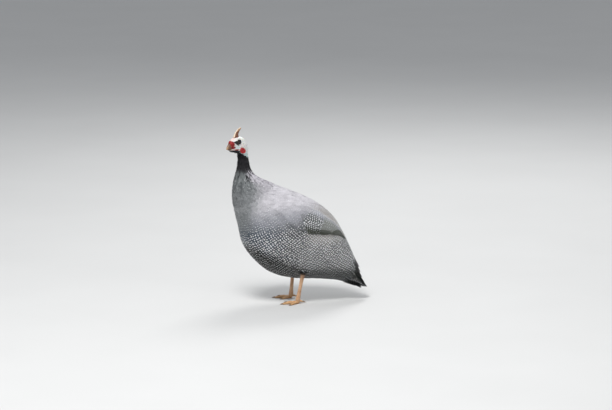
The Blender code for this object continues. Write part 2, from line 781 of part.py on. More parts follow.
def make_casque(head_mesh):
    """The horn: flat from side to side, leaning back, ridged and rounded at its tip."""
    rings = []
    steps = 14
    last = len(CASQUE_SPINE) - 1
    for i in range(steps + 1):
        t = last * i / steps
        x, z, half_length, half_width = through(CASQUE_SPINE, t)
        ahead = through(CASQUE_SPINE, min(t + 0.1, last))
        behind = through(CASQUE_SPINE, max(t - 0.1, 0))
        way = Vector((ahead[0] - behind[0], 0, ahead[1] - behind[1])).normalized()
        ridge = 1 + CASQUE_RIDGES * (-1) ** i
        across = (-way.z, 0, way.x)
        rings.append(ring_about((x, 0, z), way, across, half_length * ridge, half_width * ridge, 12))
    casque = add_object("casque", *loft(rings), "horn")
    casque = combine(casque, [grown_head(head_mesh)], "DIFFERENCE")
    return place_in_head(casque)


def make_wattle(side_name, side, head_mesh):
    """A thick lappet of skin with a rolled rim."""
    centre = Vector((WATTLE_CENTRE[0], side * WATTLE_CENTRE[1], WATTLE_CENTRE[2]))
    along = Vector((math.cos(WATTLE_FLARE), side * math.sin(WATTLE_FLARE), 0))
    up = Vector((-0.12, 0, 1)).normalized()
    out = Vector((-math.sin(WATTLE_FLARE), side * math.cos(WATTLE_FLARE), 0))
    segments = 16
    shares = (0.35, 0.68, 0.9, 1.0)
    points = []
    for face in (1, -1):
        points.append(centre + out * (face * WATTLE_THICK * 0.8))
        for share in shares[:-1] if face < 0 else shares:
            rim = bump(share - 0.8, 0.16)
            thick = (WATTLE_THICK * 0.8 + WATTLE_RIM * rim) * (1 - share ** 8)
            for k in range(segments):
                a = 2 * math.pi * k / segments
                lobed = 1 + WATTLE_LOBES * math.cos(3 * a + 0.6)
                flat = along * (WATTLE_HALF_LENGTH * math.cos(a)) + up * (WATTLE_HALF_HEIGHT * math.sin(a))
                cupped = out * (WATTLE_CUP * share ** 2)
                points.append(centre + flat * (share * lobed) + cupped + out * (face * float(thick)))
    rings = len(shares)
    back = 1 + rings * segments
    faces = []

    def front(ring, k):
        return 1 + ring * segments + k % segments

    def rear(ring, k):
        return front(rings - 1, k) if ring == rings - 1 else back + 1 + ring * segments + k % segments

    for k in range(segments):
        faces.append((0, front(0, k), front(0, k + 1)))
        faces.append((back, rear(0, k + 1), rear(0, k)))
        for ring in range(rings - 1):
            faces.append((front(ring, k), front(ring + 1, k), front(ring + 1, k + 1), front(ring, k + 1)))
            faces.append((rear(ring, k), rear(ring, k + 1), rear(ring + 1, k + 1), rear(ring + 1, k)))
    wattle = add_object(f"wattle_{side_name}", points, faces, "red_skin")
    wattle = combine(wattle, [grown_head(head_mesh)], "DIFFERENCE")
    return place_in_head(wattle)


def leg_frame(leg):
    """The hock, toe joint and knee of a leg."""
    side = leg["side"]
    hock = Vector((leg["hock"][0], side * leg["hock"][1], leg["hock"][2]))
    joint = Vector((leg["joint"][0], side * leg["joint"][1], leg["joint"][2]))
    knee = hock + Vector((-KNEE_AHEAD, side * KNEE_OUT, KNEE_UP))
    return hock, joint, knee


def make_thigh(side_name, leg):
    """The feathered drumstick, from a rounded knee inside the flank to a cuff above the hock."""
    hock, _, knee = leg_frame(leg)
    along = (hock - knee).normalized()
    end = hock - along * (HOCK_RADIUS * HOCK_CUT + GAP)
    rings = []
    steps = 10
    fullest = 0.3
    for i in range(steps + 1):
        s = i / steps
        if s < fullest:
            share = math.sqrt(1 - ((fullest - s) / fullest) ** 2)
        else:
            share = 0.5 + 0.5 * math.cos(math.pi * (s - fullest) / (1 - fullest))
        radius = CUFF_RADIUS + (KNEE_RADIUS - CUFF_RADIUS) * share
        rings.append(ring_about(knee.lerp(end, s), along, (1, 0, 0.2), radius, radius, 18))
    thigh = add_object(f"thigh_{side_name}", *loft(rings), "dark_feather")
    return combine(thigh, [grown_body()], "DIFFERENCE")


def make_shank(side_name, leg):
    """The bare scaled leg, from the hock to just above the toes."""
    hock, joint, knee = leg_frame(leg)
    upper = (hock - knee).normalized()
    lower = (joint - hock).normalized()
    start = hock - upper * (HOCK_RADIUS * HOCK_CUT)
    end = joint - lower * JOINT_RADIUS
    rings = [
        ring_about(start, upper, (1, 0, 0), HOCK_RADIUS * 0.96, HOCK_RADIUS * 0.9, 12),
        ring_about(hock, upper + lower, (1, 0, 0), HOCK_RADIUS * 1.08, HOCK_RADIUS * 0.95, 12),
    ]
    steps = 12
    for i in range(1, steps + 1):
        s = i / steps
        swell = (HOCK_RADIUS - SHANK_RADIUS) * (1 - s) ** 4 + (JOINT_RADIUS - SHANK_RADIUS) * s ** 5
        scute = SCUTE_HEIGHT * (i % 2)
        radius = SHANK_RADIUS + swell + scute
        rings.append(ring_about(hock.lerp(end, s), lower, (1, 0, 0), radius * 1.15, radius * 0.95, 12))
    shank = add_object(f"shank_{side_name}", *loft(rings), "leg_skin")
    return combine(shank, [grown_body()], "DIFFERENCE")


def toe_way(leg, name):
    """The level direction that a toe points in."""
    out = leg["toe_out"] + TOES[name][1]
    turn = math.radians(out)
    return Vector((-math.cos(turn), leg["side"] * math.sin(turn), 0))


def toe_rings(leg, name, joint):
    """The rings of a toe, from inside the foot to its claw."""
    length, _, radius = TOES[name]
    way = toe_way(leg, name)
    rise = HIND_RISE if name == "hind" else 0.0
    rings = []
    steps = 10
    for i in range(steps + 1):
        s = i / steps
        size = radius * (1 - 0.34 * s) * (1 + 0.09 * math.cos(2 * math.pi * TOE_PADS * s))
        base = Vector((joint.x, joint.y, 0))
        height = size * 0.88 + rise * (1 - 0.55 * s)
        centre = base + way * (length * s) + Vector((0, 0, height))
        ring = ring_about(centre, way, (0, 0, 1), size, size * 0.95, TOE_SIDES)
        rings.append([Vector((p.x, p.y, max(p.z, 0.0))) for p in ring])
    return rings


def make_foot(side_name, leg):
    """Three front toes and a raised hind toe about one joint, with flat soles."""
    hock, joint, _ = leg_frame(leg)
    lower = (joint - hock).normalized()
    ahead = (1, 0, 0)
    top = joint - lower * (JOINT_RADIUS - GAP)
    middle = joint - Vector((0, 0, 0.002))
    bottom = joint - Vector((0, 0, 0.0075))
    ankle_rings = [
        ring_about(top, lower, ahead, JOINT_RADIUS * 1.1, JOINT_RADIUS * 0.93, 12),
        ring_about(middle, lower, ahead, JOINT_RADIUS * 1.15, JOINT_RADIUS, 12),
        ring_about(bottom, (0, 0, -1), ahead, JOINT_RADIUS, JOINT_RADIUS * 0.9, 12),
    ]
    foot = add_object(f"foot_{side_name}", *loft(ankle_rings), "leg_skin")
    toes = [add_object(f"toe_{name}", *loft(toe_rings(leg, name, joint)), "leg_skin") for name in TOES]
    return combine(foot, toes, "UNION")


def make_claw(side_name, leg, name):
    """A curved claw that carries on from its toe."""
    _, joint, _ = leg_frame(leg)
    last = toe_rings(leg, name, joint)[-1]
    start = sum(last, Vector()) / len(last)
    way = toe_way(leg, name)
    rings = []
    steps = 4
    length = CLAW_LENGTH * (0.8 if name == "hind" else 1.0)
    drop = start.z - 0.0010
    for i in range(steps + 1):
        s = i / steps
        centre = start + way * (GAP + length * s) - Vector((0, 0, drop * s ** 1.8))
        centre.z = max(centre.z, CLAW_RADIUS * (1 - s) + 0.0006)
        radius = CLAW_RADIUS * (1 - s) ** 0.8 + 0.0003
        rings.append(ring_about(centre, way - Vector((0, 0, 0.6 * s)), (0, 0, 1), radius, radius * 0.75, 6))
    return add_object(f"claw_{side_name}_{name}", *loft(rings), "claw")


def rest_on_origin():
    """Hangs every piece on an empty placed so that the whole stands centred on the origin."""
    meshes = [thing for thing in bpy.data.objects if thing.type == "MESH"]
    corners = np.array([v.co for thing in meshes for v in thing.data.vertices])
    low, high = corners.min(0), corners.max(0)
    stand = bpy.data.objects.new("origin", None)
    stand.location = (-(low[0] + high[0]) / 2, -(low[1] + high[1]) / 2, -low[2])
    bpy.context.scene.collection.objects.link(stand)
    for thing in meshes:
        thing.parent = stand


def main():
    for thing in list(bpy.data.objects):
        bpy.data.objects.remove(thing)
    body = BodySide()
    make_neck()
    make_torso()
    make_tail()
    head_mesh = head_skin()
    make_head(head_mesh)
    make_upper_bill()
    make_lower_bill()
    make_casque(head_mesh)
    for side_name, leg in LEGS.items():
        side = leg["side"]
        make_eye(side_name, side)
        make_wattle(side_name, side, head_mesh)
        make_wing(side_name, side, body)
        make_thigh(side_name, leg)
        make_shank(side_name, leg)
        make_foot(side_name, leg)
        for toe_name in TOES:
            make_claw(side_name, leg, toe_name)
    rest_on_origin()


main()
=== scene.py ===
"""A lavender guinea fowl that stands with its head turned: skin, plumage, face, horn and legs.

Metres. The bird faces -X, its left side is -Y, and its soles are at z = 0.
"""

import json
import math

import bmesh
import bpy
import numpy as np
from mathutils import Matrix, Vector, noise
from mathutils.bvhtree import BVHTree

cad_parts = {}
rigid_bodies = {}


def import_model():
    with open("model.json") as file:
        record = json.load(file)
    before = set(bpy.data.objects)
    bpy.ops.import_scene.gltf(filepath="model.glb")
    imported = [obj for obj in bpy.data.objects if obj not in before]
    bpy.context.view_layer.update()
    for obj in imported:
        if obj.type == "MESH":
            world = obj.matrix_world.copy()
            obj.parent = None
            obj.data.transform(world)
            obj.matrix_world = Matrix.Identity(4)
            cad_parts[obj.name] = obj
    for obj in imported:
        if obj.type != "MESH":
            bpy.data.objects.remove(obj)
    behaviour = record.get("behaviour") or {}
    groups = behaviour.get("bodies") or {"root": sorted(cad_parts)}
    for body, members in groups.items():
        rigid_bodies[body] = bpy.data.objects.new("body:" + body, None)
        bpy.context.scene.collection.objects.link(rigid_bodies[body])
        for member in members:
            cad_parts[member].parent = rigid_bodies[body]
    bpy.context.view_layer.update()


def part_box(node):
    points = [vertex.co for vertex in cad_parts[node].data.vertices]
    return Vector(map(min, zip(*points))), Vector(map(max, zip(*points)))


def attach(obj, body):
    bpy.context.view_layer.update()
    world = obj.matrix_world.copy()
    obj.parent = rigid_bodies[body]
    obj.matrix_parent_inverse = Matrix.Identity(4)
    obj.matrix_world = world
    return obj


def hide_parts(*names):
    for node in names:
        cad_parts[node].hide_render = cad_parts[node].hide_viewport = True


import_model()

SEED = 11
MM = 0.001
SIDES = {"left": -1, "right": 1}

# Where the head's middle lies, measured from the body's own origin
HEAD_FROM_BODY = Vector((-0.1618, -0.0137, 0.4100))
HEAD_TURN = math.radians(35)

# Cross sections of the body from the neck's top to the tail's end, each as
# back x, back z, belly x, belly z, half width, and how full the belly half is
BODY_STATIONS = (
    (-0.1275, 0.3700, -0.1535, 0.3700, 0.0122, 2.0),
    (-0.1262, 0.3510, -0.1548, 0.3500, 0.0132, 2.0),
    (-0.1205, 0.3345, -0.1585, 0.3310, 0.0180, 2.0),
    (-0.1110, 0.3220, -0.1640, 0.3080, 0.0280, 2.0),
    (-0.0930, 0.3110, -0.1670, 0.2750, 0.0450, 2.1),
    (-0.0620, 0.2970, -0.1635, 0.2410, 0.0600, 2.15),
    (-0.0150, 0.2780, -0.1540, 0.2000, 0.0715, 2.15),
    (0.0300, 0.2570, -0.1410, 0.1480, 0.0770, 2.05),
    (0.0640, 0.2340, -0.1100, 0.1060, 0.0770, 1.85),
    (0.0895, 0.2080, -0.0700, 0.0750, 0.0720, 1.6),
    (0.1070, 0.1790, -0.0150, 0.0590, 0.0630, 1.5),
    (0.1215, 0.1500, 0.0450, 0.0550, 0.0490, 1.6),
    (0.1345, 0.1205, 0.0920, 0.0500, 0.0350, 1.8),
    (0.1460, 0.0935, 0.1230, 0.0420, 0.0240, 2.0),
)
BACK_FULLNESS = 2.15
GRID_ROWS_PER_STATION = 14
GRID_SIDES = 160
# Rings that end the tail's core: middle x and z, half height's x and z, half width
TAIL_CORE_TIP = (
    (0.1478, 0.0512, 0.0088, 0.0112, 0.0205),
    (0.1578, 0.0400, 0.0058, 0.0060, 0.0170),
    (0.1625, 0.0345, 0.0028, 0.0028, 0.0120),
)
# Rows of the body that they take the place of, and how much smaller the skin is, up and across
TAIL_CORE_ROWS = 6
TAIL_SKIN_SHARES = (0.9, 0.93)

# Wings: a side view from the shoulder to the tip, as u along the wing, upper z, lower z
WING_SHOULDER_X = -0.082
WING_TIP_X = 0.114
WING_LENGTH = WING_TIP_X - WING_SHOULDER_X
WING_OUTLINE = (
    (0.00, 0.252, 0.246),
    (0.12, 0.264, 0.226),
    (0.28, 0.263, 0.197),
    (0.45, 0.252, 0.184),
    (0.62, 0.234, 0.180),
    (0.78, 0.211, 0.177),
    (0.91, 0.186, 0.169),
    (1.00, 0.163, 0.157),
)
WING_DEPTH = 0.0075

# Depth of the coat over the skin, at the neck's top and over the body
COAT_DEPTH = (0.0012, 0.0028)

# Head: its own frame faces -X with its origin between the eyes
HEAD_MIDDLE = (0.004, 0.0, -0.010)
HEAD_REACH = 0.07
HEAD_DETAIL = 7
BILL_BASE = -0.0200
# Rounded masses that make up the head: centre, half sizes, how softly each runs into the rest
HEAD_MASSES = (
    ((0.0060, 0, -0.0010), (0.0212, 0.0123, 0.0125), 0.006),
    ((-0.0090, 0, -0.0040), (0.0125, 0.0093, 0.0115), 0.006),
    ((-0.0150, 0, -0.0082), (0.0090, 0.0066, 0.0090), 0.004),
    ((0.0060, 0, -0.0140), (0.0170, 0.0114, 0.0130), 0.006),
    ((0.0035, 0.0078, -0.0200), (0.0040, 0.0040, 0.0040), 0.003),
)
# Rods of the jaw and throat: start, end, radius at each, softness
HEAD_RODS = (
    ((-0.0020, 0, -0.0180), (-0.0210, 0, -0.0178), 0.0070, 0.0034, 0.005),
    ((0.0204, 0, -0.0130), (0.0258, 0, -0.0460), 0.0126, 0.0127, 0.008),
)
# Ridges and furrows of the face as distance from a centre line, height or depth, and width
LID = (0.0061, 0.0009, 0.0011)
FURROW = (0.0088, 0.0005, 0.0012)
BROW = (0.0125, 0.0007, 0.0014)
EAR_CUP = (0.0, 0.0010, 0.0012)
EAR_RIM = (0.0026, 0.0002, 0.0009)
NOSTRIL_SLIT = (0.0, 0.0011, 0.0009)
MOUTH_LINE = (0.0, 0.0009, 0.0006)
# Where they lie, as x and z
BROW_CENTRE = (0.001, -0.003)
NOSTRIL = (-0.0165, -0.0060)
NOSTRIL_LENGTH = 1.6
EAR = (0.0165, -0.0070)
GAPE_FRONT = (-0.0200, -0.0142)
GAPE_BACK = (-0.0060, -0.0185)
# Folds of the upper neck, below one height and ahead of one x, and how far they fade over there
FOLD_SPACING = 0.0046
FOLD_HEIGHT = 0.00025
FOLDS_BELOW = -0.020
FOLDS_AHEAD = 0.030
FOLD_FADE = (0.006, 0.01)
# Distance from the middle where the head's sides begin, and over which their relief comes in
HEAD_SIDE = 0.004
HEAD_SIDE_FADE = 0.003
# Relief of the bare skin in millimetres: folds, grain, and the pimples of the red skin
SKIN_FOLDS = 0.16
SKIN_GRAIN = 0.07
PIMPLES = 0.55
PIMPLE_SPACING = 1.5
RED_SKIN_MIDDLE = (-17.5, 0, -6)
RED_SKIN_REACH = (8.5, 11, 10)
# The throat is feathered below a line of this slope, which passes through this x and z
THROAT_SLOPE = 0.75
THROAT_POINT = (0.008, -0.028)

# Eyes: middle, radius, half width and half height of the opening between the lids
EYE_OUT = 0.0070
EYE_RADIUS = 0.0064
EYE_OPENING = (0.0049, 0.0042)
LID_REACH = 0.0026
LID_THICK = 0.00065
# A lid from under the eyeball's edge out to under the skin, as shares of reach and thickness
LID_PROFILE = (
    (-0.02, -0.9), (-0.06, 0.1), (-0.03, 0.5), (0.05, 0.82), (0.14, 0.98), (0.24, 1.0), (0.34, 0.86),
    (0.42, 0.94), (0.52, 0.96), (0.62, 0.72), (0.72, 0.6), (0.84, 0.3), (1.0, -0.6),
)

# Bill: length, then the heights of its ridge, mouth edge and keel at base and tip
BILL_LENGTH = 0.0134
BILL_HALF_WIDTH = 0.0052
BILL_RIDGE = (-0.0020, -0.0168)
BILL_EDGE = (-0.0141, -0.0176)
LOWER_BILL_LENGTH = 0.0096
LOWER_BILL_KEEL = (-0.0208, -0.0184)
LOWER_BILL_HALF_WIDTH = 0.0044
BILL_TIP_RADIUS = 0.0006
MOUTH_GAP = 0.0004

# Casque, the horn on the crown, from base to tip as x, z, half length, half width
CASQUE_SPINE = (
    (0.0012, 0.0070, 0.0120, 0.0062),
    (0.0014, 0.0125, 0.0086, 0.0045),
    (0.0026, 0.0178, 0.0062, 0.0036),
    (0.0062, 0.0230, 0.0048, 0.0031),
    (0.0112, 0.0276, 0.0036, 0.0027),
    (0.0160, 0.0306, 0.0024, 0.0020),
    (0.0182, 0.0318, 0.0010, 0.0010),
)

# Wattles, flat lappets hung from the corners of the mouth and flared out behind
WATTLE_CENTRE = (0.0108, 0.0134, -0.0228)
WATTLE_RADIUS = 0.0076
WATTLE_FLARE = math.radians(25)
WATTLE_THICK = 0.0011
WATTLE_RIM = 0.0009
# Where the rolled rim lies and how wide it is, as shares of the radius
WATTLE_RIM_PLACE = 0.86
WATTLE_RIM_WIDTH = 0.12
WATTLE_CUP = 0.0016
WATTLE_LOBES = 0.05

# Legs, each as side, hock, toe joint and the way the middle toe points, in degrees out from ahead
LEGS = {
    "left": (-1, (0.0040, 0.036, 0.081), (-0.0100, 0.036, 0.011), 10),
    "right": (1, (-0.0065, 0.036, 0.082), (-0.0125, 0.036, 0.011), 8),
}
THIGH_DEPTH = 0.0115
KNEE_FROM_HOCK = (-0.056, 0.012, 0.062)
KNEE_RADIUS = 0.034
CUFF_RADIUS = 0.0085
CUFF_LENGTH = 0.0075
CUFF_RINGS = 7
SHANK_RADIUS = 0.0036
HOCK_RADIUS = 0.0062
JOINT_RADIUS = 0.0052
# Half widths of the ankle's rings from front to back and across, as shares of JOINT_RADIUS
ANKLE_SHARES = ((0.95, 1.15, 1.15, 0.95), (0.85, 1.0, 1.0, 0.85))
# Toes: length, turn from the middle toe in degrees, base radius, rise of the root
TOES = {
    "middle": (0.0400, 0, 0.0043, 0),
    "inner": (0.0285, -36, 0.0039, 0),
    "outer": (0.0320, 34, 0.0040, 0),
    "hind": (0.0130, 172, 0.0030, 0.0062),
}
TOE_PADS = 3
SHANK_SIDES = 24
TOE_SIDES = 20
# Scutes: millimetres between those of the shank and of the toes, and metres that their edges rise
SHANK_SCUTES = 5.2
TOE_SCUTES = 2.5
SCUTE_RISE = 0.00034
LEG_VOXEL = 0.00055
CLAW_VOXEL = 0.00024
SMOOTHING = 4

# Feather outlines: share of the width at the root, where the vane is full, where it starts
# to round off, and how bluntly it ends
OUTLINES = {
    "contour": (0.45, 0.35, 0.64, 2.1, 0.50),
    "flight": (0.60, 0.25, 0.78, 2.4, 0.50),
    "lance": (0.40, 0.40, 0.30, 1.7, 0.80),
    "hair": (0.80, 0.10, 0.05, 1.1, 0.90),
}
# Size of each feather's own patch of the map for baking
PATCH = 0.003
FEATHER_SMOOTH_ANGLE = 50

# Feathers that lie in rows: steps between them, length and width
BODY_FEATHER_STEP = 0.0112
BODY_FEATHER_LENGTH = 0.0275
BODY_FEATHER_WIDTH = 0.0162
NECK_FEATHER_STEPS = (0.0036, 0.0031)
NECK_FEATHER_LENGTH = 0.0175
NECK_FEATHER_WIDTH = 0.0050
# How much shorter and narrower they are at the top of the neck
NECK_FEATHER_LOSS = (0.0070, 0.0024)
THIGH_FEATHER_STEP = 0.0060
THIGH_FEATHER_LENGTH = 0.0185
THIGH_FEATHER_WIDTH = 0.0115
# Lift off the surface: at the root, at the tip, and how much more at a tip by chance
FEATHER_LIFTS = {
    "body": (-0.0013, 0.0002, 0.0003),
    "neck": (-0.0012, 0.0008, 0.0005),
    "thigh": (-0.0018, 0.0006, 0.0003),
}
# Millimetres between the dots of a feather
DOT_SPACING = {"contour": 6.0, "neck": 4.3, "quill": 5.2}
# Largest radius of a dot as a share of the spacing, and in millimetres the softness of its edge and
# the width of the dark ring about it
DOT_SHARE = 0.30
DOT_SOFTNESS = 0.22
DOT_RING = 1.5

CAMERA_AZIMUTH = -12.0
CAMERA_ELEVATION = 10.0
CAMERA_DISTANCE = 8.5
CAMERA_LENS = 200.0
SENSOR = 36.0
PHOTO_SIZE = (612, 410)
# Pixel of the photograph where the point of the floor under the bird's middle lies
FLOOR_PIXEL = (295.83, 300.61)


def tone(red, green, blue):
    """A linear colour from one given as a screen shows it, 0 to 255."""
    shares = np.array((red, green, blue), float) / 255
    return np.where(shares <= 0.04045, shares / 12.92, ((shares + 0.055) / 1.055) ** 2.4)


TONES = {
    "face": tone(228, 226, 222),
    "pink skin": tone(214, 176, 168),
    "blue skin": tone(170, 202, 204),
    "red skin": tone(176, 28, 24),
    "dark red": tone(96, 14, 14),
    "lids": tone(26, 22, 22),
    "mantle": tone(188, 185, 190),
    "side": tone(150, 151, 157),
    "slate": tone(68, 79, 90),
    # Painted shade: flank, rear flank, under and vent darken the coat's lower parts and the underside behind
    # the legs and below the tail
    "flank": tone(50, 56, 58),
    "rear flank": tone(56, 58, 57),
    "under": tone(24, 26, 24),
    # Painted light: the pale tone of the upward-facing rump and of the tail's top
    "rump": tone(176, 173, 175),
    "vent": tone(30, 33, 30),
    "buff": tone(170, 165, 160),
    "covert": tone(58, 63, 62),
    "quill": tone(90, 93, 86),
    "wing band": tone(54, 58, 48),
    # Painted shade on the tail's sides
    "tail": tone(34, 37, 33),
    "low neck": tone(98, 103, 103),
    "streak": tone(38, 42, 46),
    "nape": tone(172, 168, 175),
    "black": tone(20, 19, 23),
    "wattle pit": tone(118, 6, 14),
    "wattle": tone(186, 16, 24),
    "wattle rim": tone(226, 176, 170),
    "casque pit": tone(80, 42, 28),
    "casque": tone(138, 92, 66),
    "casque tip": tone(190, 158, 124),
    "casque base": tone(96, 36, 26),
    # Painted highlight along the casque's front edge
    "casque highlight": tone(236, 216, 188),
    "bill pit": tone(80, 52, 38),
    "bill": tone(126, 88, 62),
    "bill tip": tone(190, 160, 122),
    "dark iris": tone(30, 17, 12),
    "iris": tone(66, 38, 24),
    "iris rim": tone(20, 15, 14),
    "leg": tone(196, 148, 110),
    "pale leg": tone(224, 184, 148),
    "foot": tone(204, 158, 98),
    "hock": tone(96, 70, 52),
    "leg seam": tone(112, 70, 40),
    "claw": tone(112, 86, 64),
    "pale claw": tone(152, 120, 90),
}


# Coloured patches of the face: tone, middle and half sizes in millimetres, softness, strength
FACE_DRIFT = 2.4
FACE_PATCHES = (
    ("pink skin", (-15, 0, 8), (8, 9, 5), 0.5, 0.55),
    ("blue skin", (-3, 11, -14), (6, 7, 5), 0.5, 0.5),
    ("blue skin", (20, 9, -34), (12, 14, 12), 0.4, 0.6),
    ("pink skin", (-8, 8, -19.5), (9, 8, 2.6), 0.5, 0.85),
)
RED_PATCHES = (
    ((-19, 0, -6), (8.4, 14, 9.4), 0.12),
    ((-14, 0, -14), (7, 14, 3.4), 0.2),
    ((-3, 8.5, -19.8), (7, 6, 1.3), 0.4, 0.9),
)
# Lids, small dark spots, and painted shade in the ear's opening and the nostril's slit
DARK_PATCHES = (
    ((0.2, 12, 0.1), (6.9, 9, 6.2), 0.10),
    ((-12, 6, 10.5), (1.6, 4, 1.0), 0.3, 0.75),
    ((-10.5, 9, -12.8), (0.9, 4, 1.3), 0.3, 0.7),
    # Painted shade in the ear's opening
    ((16.2, 11, -7.2), (1.5, 6, 1.5), 0.3, 0.8),
    ((13.0, 11, -10.2), (0.9, 6, 0.7), 0.3, 0.5),
    # Painted shade in the nostril's slit
    ((-16.5, 7, -6.0), (1.5, 3, 0.7), 0.3, 0.9),
)
SKIN_DOT_SPACING = 5.6


def smooth(value, low, high):
    """0 at low, 1 at high and a smooth rise between them. Low may be the larger."""
    share = np.clip((np.asarray(value, float) - low) / (high - low), 0, 1)
    return share * share * (3 - 2 * share)


def between(ends, share):
    """The value at a share of the way between two ends."""
    return ends[0] + (ends[1] - ends[0]) * share


def blend_tones(base, name, share):
    """Colours moved towards the named tone by a share for each."""
    share = np.asarray(share)[..., None]
    return base * (1 - share) + TONES[name] * share


def through(rows, t):
    """Rows at each t on a smooth curve through the rows, where t counts rows from 0."""
    rows = np.asarray(rows, float)
    t = np.atleast_1d(np.asarray(t, float))
    last = len(rows) - 1
    i = np.clip(t.astype(int), 0, last - 1)
    f = (t - i)[:, None]
    before, here, there, after = (rows[np.clip(i + k, 0, last)] for k in (-1, 0, 1, 2))
    cubic = 3 * (here - there) + after - before
    square = 2 * before - 5 * here + 4 * there - after
    return here + 0.5 * f * (there - before + f * (square + f * cubic))


def place_on(line, values):
    """Where values lie on a rising line of numbers, counted in its steps."""
    return np.interp(values, line, np.arange(len(line)))


def turns(count):
    """Angles of points evenly spaced round a circle."""
    return 2 * np.pi * np.arange(count) / count


def unit(vectors):
    """Vectors of length one."""
    return vectors / np.maximum(np.linalg.norm(vectors, axis=-1, keepdims=True), 1e-12)


# Mesh making


def mesh_object(name, points, faces, material=None, smooth_angle=None):
    """An object of these points and faces. Faces are an array, or a list of arrays, of equal corners."""
    mesh = bpy.data.meshes.new(name)
    groups = [faces] if isinstance(faces, np.ndarray) else faces
    corners = np.concatenate([g.reshape(-1) for g in groups]).astype(np.int32)
    sizes = np.concatenate([np.full(len(g), g.shape[1], np.int32) for g in groups])
    starts = np.concatenate([[0], np.cumsum(sizes)[:-1]]).astype(np.int32)
    mesh.vertices.add(len(points))
    mesh.vertices.foreach_set("co", np.asarray(points, np.float32).ravel())
    mesh.loops.add(len(corners))
    mesh.loops.foreach_set("vertex_index", corners)
    mesh.polygons.add(len(sizes))
    mesh.polygons.foreach_set("loop_start", starts)
    mesh.update(calc_edges=True)
    mesh.shade_smooth()
    if smooth_angle is not None:
        mesh.set_sharp_from_angle(angle=math.radians(smooth_angle))
    if material is not None:
        mesh.materials.append(material)
    made = bpy.data.objects.new(name, mesh)
    bpy.context.scene.collection.objects.link(made)
    return made


def write_attribute(mesh, name, kind, values):
    """Keeps one value for each point of a mesh under a name."""
    made = mesh.attributes.new(name, kind, "POINT")
    field = {"FLOAT": "value", "FLOAT_VECTOR": "vector", "FLOAT_COLOR": "color"}[kind]
    made.data.foreach_set(field, np.asarray(values, np.float32).ravel())


def write_map(mesh, name, places):
    """A UV map with one place for each corner."""
    layer = mesh.uv_layers.new(name=name, do_init=False)
    layer.uv.foreach_set("vector", np.asarray(places, np.float32).ravel())


def tube_faces(rows, sides):
    """Quads of a skin through rings of equal length."""
    i, k = np.meshgrid(np.arange(rows - 1), np.arange(sides), indexing="ij")
    a = i * sides + k
    b = i * sides + (k + 1) % sides
    return np.stack([a, b, b + sides, a + sides], axis=-1).reshape(-1, 4)


def tube_caps(rows, sides):
    """The two end faces of such a skin."""
    first = np.arange(sides)[::-1]
    last = (rows - 1) * sides + np.arange(sides)
    return np.stack([first, last])


def joined(parts):
    """Points and faces of several parts, as one set."""
    points, groups, offset = [], {}, 0
    for part_points, part_faces in parts:
        part_groups = [part_faces] if isinstance(part_faces, np.ndarray) else part_faces
        for group in part_groups:
            groups.setdefault(group.shape[1], []).append(group + offset)
        points.append(np.asarray(part_points).reshape(-1, 3))
        offset += len(points[-1])
    return np.concatenate(points), [np.concatenate(g) for g in groups.values()]


def dress(piece, slot, *nodes):
    """Fixes a piece to the bird and hides the solids that it stands for. The slot is not used."""
    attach(piece, "root")
    if nodes:
        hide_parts(*nodes)
    return piece


# Shader graphs


class Signal:
    """An output of a shader node, which sums, differences and products can be written with."""

    def __init__(self, graph, socket):
        self.graph, self.socket = graph, socket

    def __add__(self, other):
        return self.graph.math("ADD", self, other)

    def __sub__(self, other):
        return self.graph.math("SUBTRACT", self, other)

    def __rsub__(self, other):
        return self.graph.math("SUBTRACT", other, self)

    def __mul__(self, other):
        return self.graph.math("MULTIPLY", self, other)


